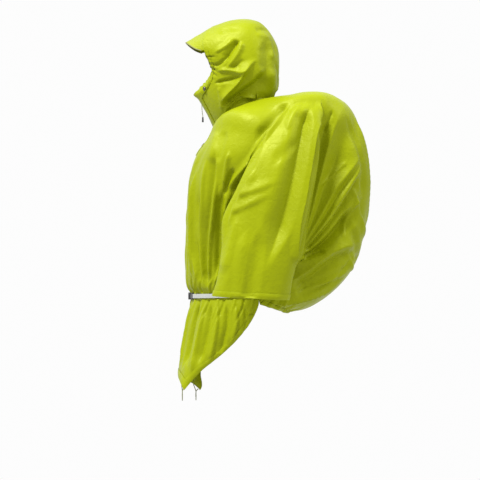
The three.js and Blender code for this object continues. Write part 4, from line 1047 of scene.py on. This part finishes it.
def stitchMesh(name, lines):
    # one short raised thread for each stitch
    vertices, faces = [], []
    around = np.linspace(0, 2 * math.pi, threads["sides"], endpoint=False)
    stations = ((threads["sunk"], threads["endSize"]), (threads["proud"], 1.0), (threads["sunk"], threads["endSize"]))
    oneThread = gridFaces(np.arange(3 * threads["sides"]).reshape(3, -1), True)[:, [0, 3, 2, 1]]
    for points, normals in lines:
        gone = walked(points)
        for start in np.arange(0, gone[-1] - threads["length"], threads["pitch"]):
            place = sample(start + np.array([0, 0.5, 1]) * threads["length"], gone, points)
            up = unit(sample([start + threads["length"] / 2], gone, normals)[0])
            side = np.cross(up, unit(place[2] - place[0]))
            faces.append(oneThread + len(vertices) * threads["sides"])
            for spot, (proud, size) in zip(place, stations):
                radius = threads["radius"] * size
                vertices.append(spot + np.outer(proud + radius * np.sin(around), up)
                                + np.outer(radius * np.cos(around), side))
    return meshPiece(name, np.concatenate(vertices), np.concatenate(faces), threadFinish)


stitches = stitchMesh("hemStitches", seamLines)
print("stitches:", len(stitches.data.polygons) // (2 * threads["sides"]))


# belt webbing: its middle line is read from the belt's solid, four corners to a station
webbing = {"height": 13.0, "thickness": 1.7, "ribs": 5, "ribDepth": 0.22, "middleY": -45}
corners = np.unique(np.round(cornersOf("belt"), 2), axis=0)
corners = corners[np.argsort(np.arctan2(corners[:, 1] - webbing["middleY"], corners[:, 0]))]
stations = corners[: len(corners) // 4 * 4].reshape(-1, 4, 3)
byHeight = np.take_along_axis(stations, np.argsort(stations[:, :, 2], axis=1)[:, :, None], axis=1)
upright = byHeight[:, 2:].mean(axis=1) - byHeight[:, :2].mean(axis=1)
middleLine = through(stations.mean(axis=1), [4] * len(stations), closed=True)
upright = unit(through(upright, [4] * len(stations), closed=True))
run = unit(np.roll(middleLine, -1, axis=0) - np.roll(middleLine, 1, axis=0))
outward = unit(np.cross(run, upright))
# section of the webbing: ribs on both faces and rounded edges
across = np.linspace(-1, 1, webbing["ribs"] * 4 + 1)
heights = (webbing["thickness"] / 2 * np.sqrt(np.clip(1 - np.abs(across) ** 12, 0, 1))
           + webbing["ribDepth"] * np.cos(across * math.pi * webbing["ribs"]) * (1 - across ** 8))
across = across * webbing["height"] / 2
profile = [*zip(across, heights), *zip(across[-2:0:-1], -heights[-2:0:-1])]
beltStrap = tubePiece("beltWebbing", np.stack([middleLine + upright * up + outward * out for up, out in profile],
                                              axis=1), webbingFinish, True)
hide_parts("belt")
print("belt made,", round(walked(middleLine)[-1]), "mm round")


# floor and light
studio = {
    "aim": (0.0, 0.05, -0.3),
    "lights": [("keyLight", (4.0, -3.85, 8.9), 2.6, 2560), ("fillLight", (1.2, 3.6, 3.0), 2.0, 150),
               ("farLight", (-1.4, -2.4, 3.2), 2.0, 60)],       # place, side in metres, watts
    "sky": 0.98, "floorHeight": -1.45, "floorHalf": 5.5, "floorGrey": 0.45, "floorRough": 0.9,
}
for name, place, size, power in studio["lights"]:
    data = bpy.data.lights.new(name, "AREA")
    data.size = size
    data.energy = power
    lamp = link(bpy.data.objects.new(name, data))
    lamp.location = place
    lamp.rotation_euler = (Vector(studio["aim"]) - Vector(place)).to_track_quat("-Z", "Y").to_euler()
world = bpy.data.worlds.new("paleStudio")
scene.world = world
world.use_nodes = True
background = world.node_tree.nodes["Background"]
background.inputs["Color"].default_value = (1, 1, 1, 1)
background.inputs["Strength"].default_value = studio["sky"]

floorMaterial, _, floorShader = newMaterial("paleFloor")
floorShader.inputs["Base Color"].default_value = (*[studio["floorGrey"]] * 3, 1)
floorShader.inputs["Roughness"].default_value = studio["floorRough"]
half = studio["floorHalf"]
floorData = bpy.data.meshes.new("floor")
floorData.from_pydata([(x * half, y * half, studio["floorHeight"]) for x, y in ((-1, -1), (1, -1), (1, 1), (-1, 1))],
                      [], [(0, 1, 2, 3)])
floorData.materials.append(floorMaterial)
link(bpy.data.objects.new("floor", floorData))
print("floor and lights made")


# finishes for the hard pieces
finishes = {"buckle_socket": plasticFinish, "buckle_plug": plasticFinish, "belt_slider": plasticFinish,
            "cord_end": plasticFinish, "snap_collar": metalFinish, "snap_chest": metalFinish, "eyelet": metalFinish}
for name, material in finishes.items():
    nodes[name].data.materials.clear()
    nodes[name].data.materials.append(material)
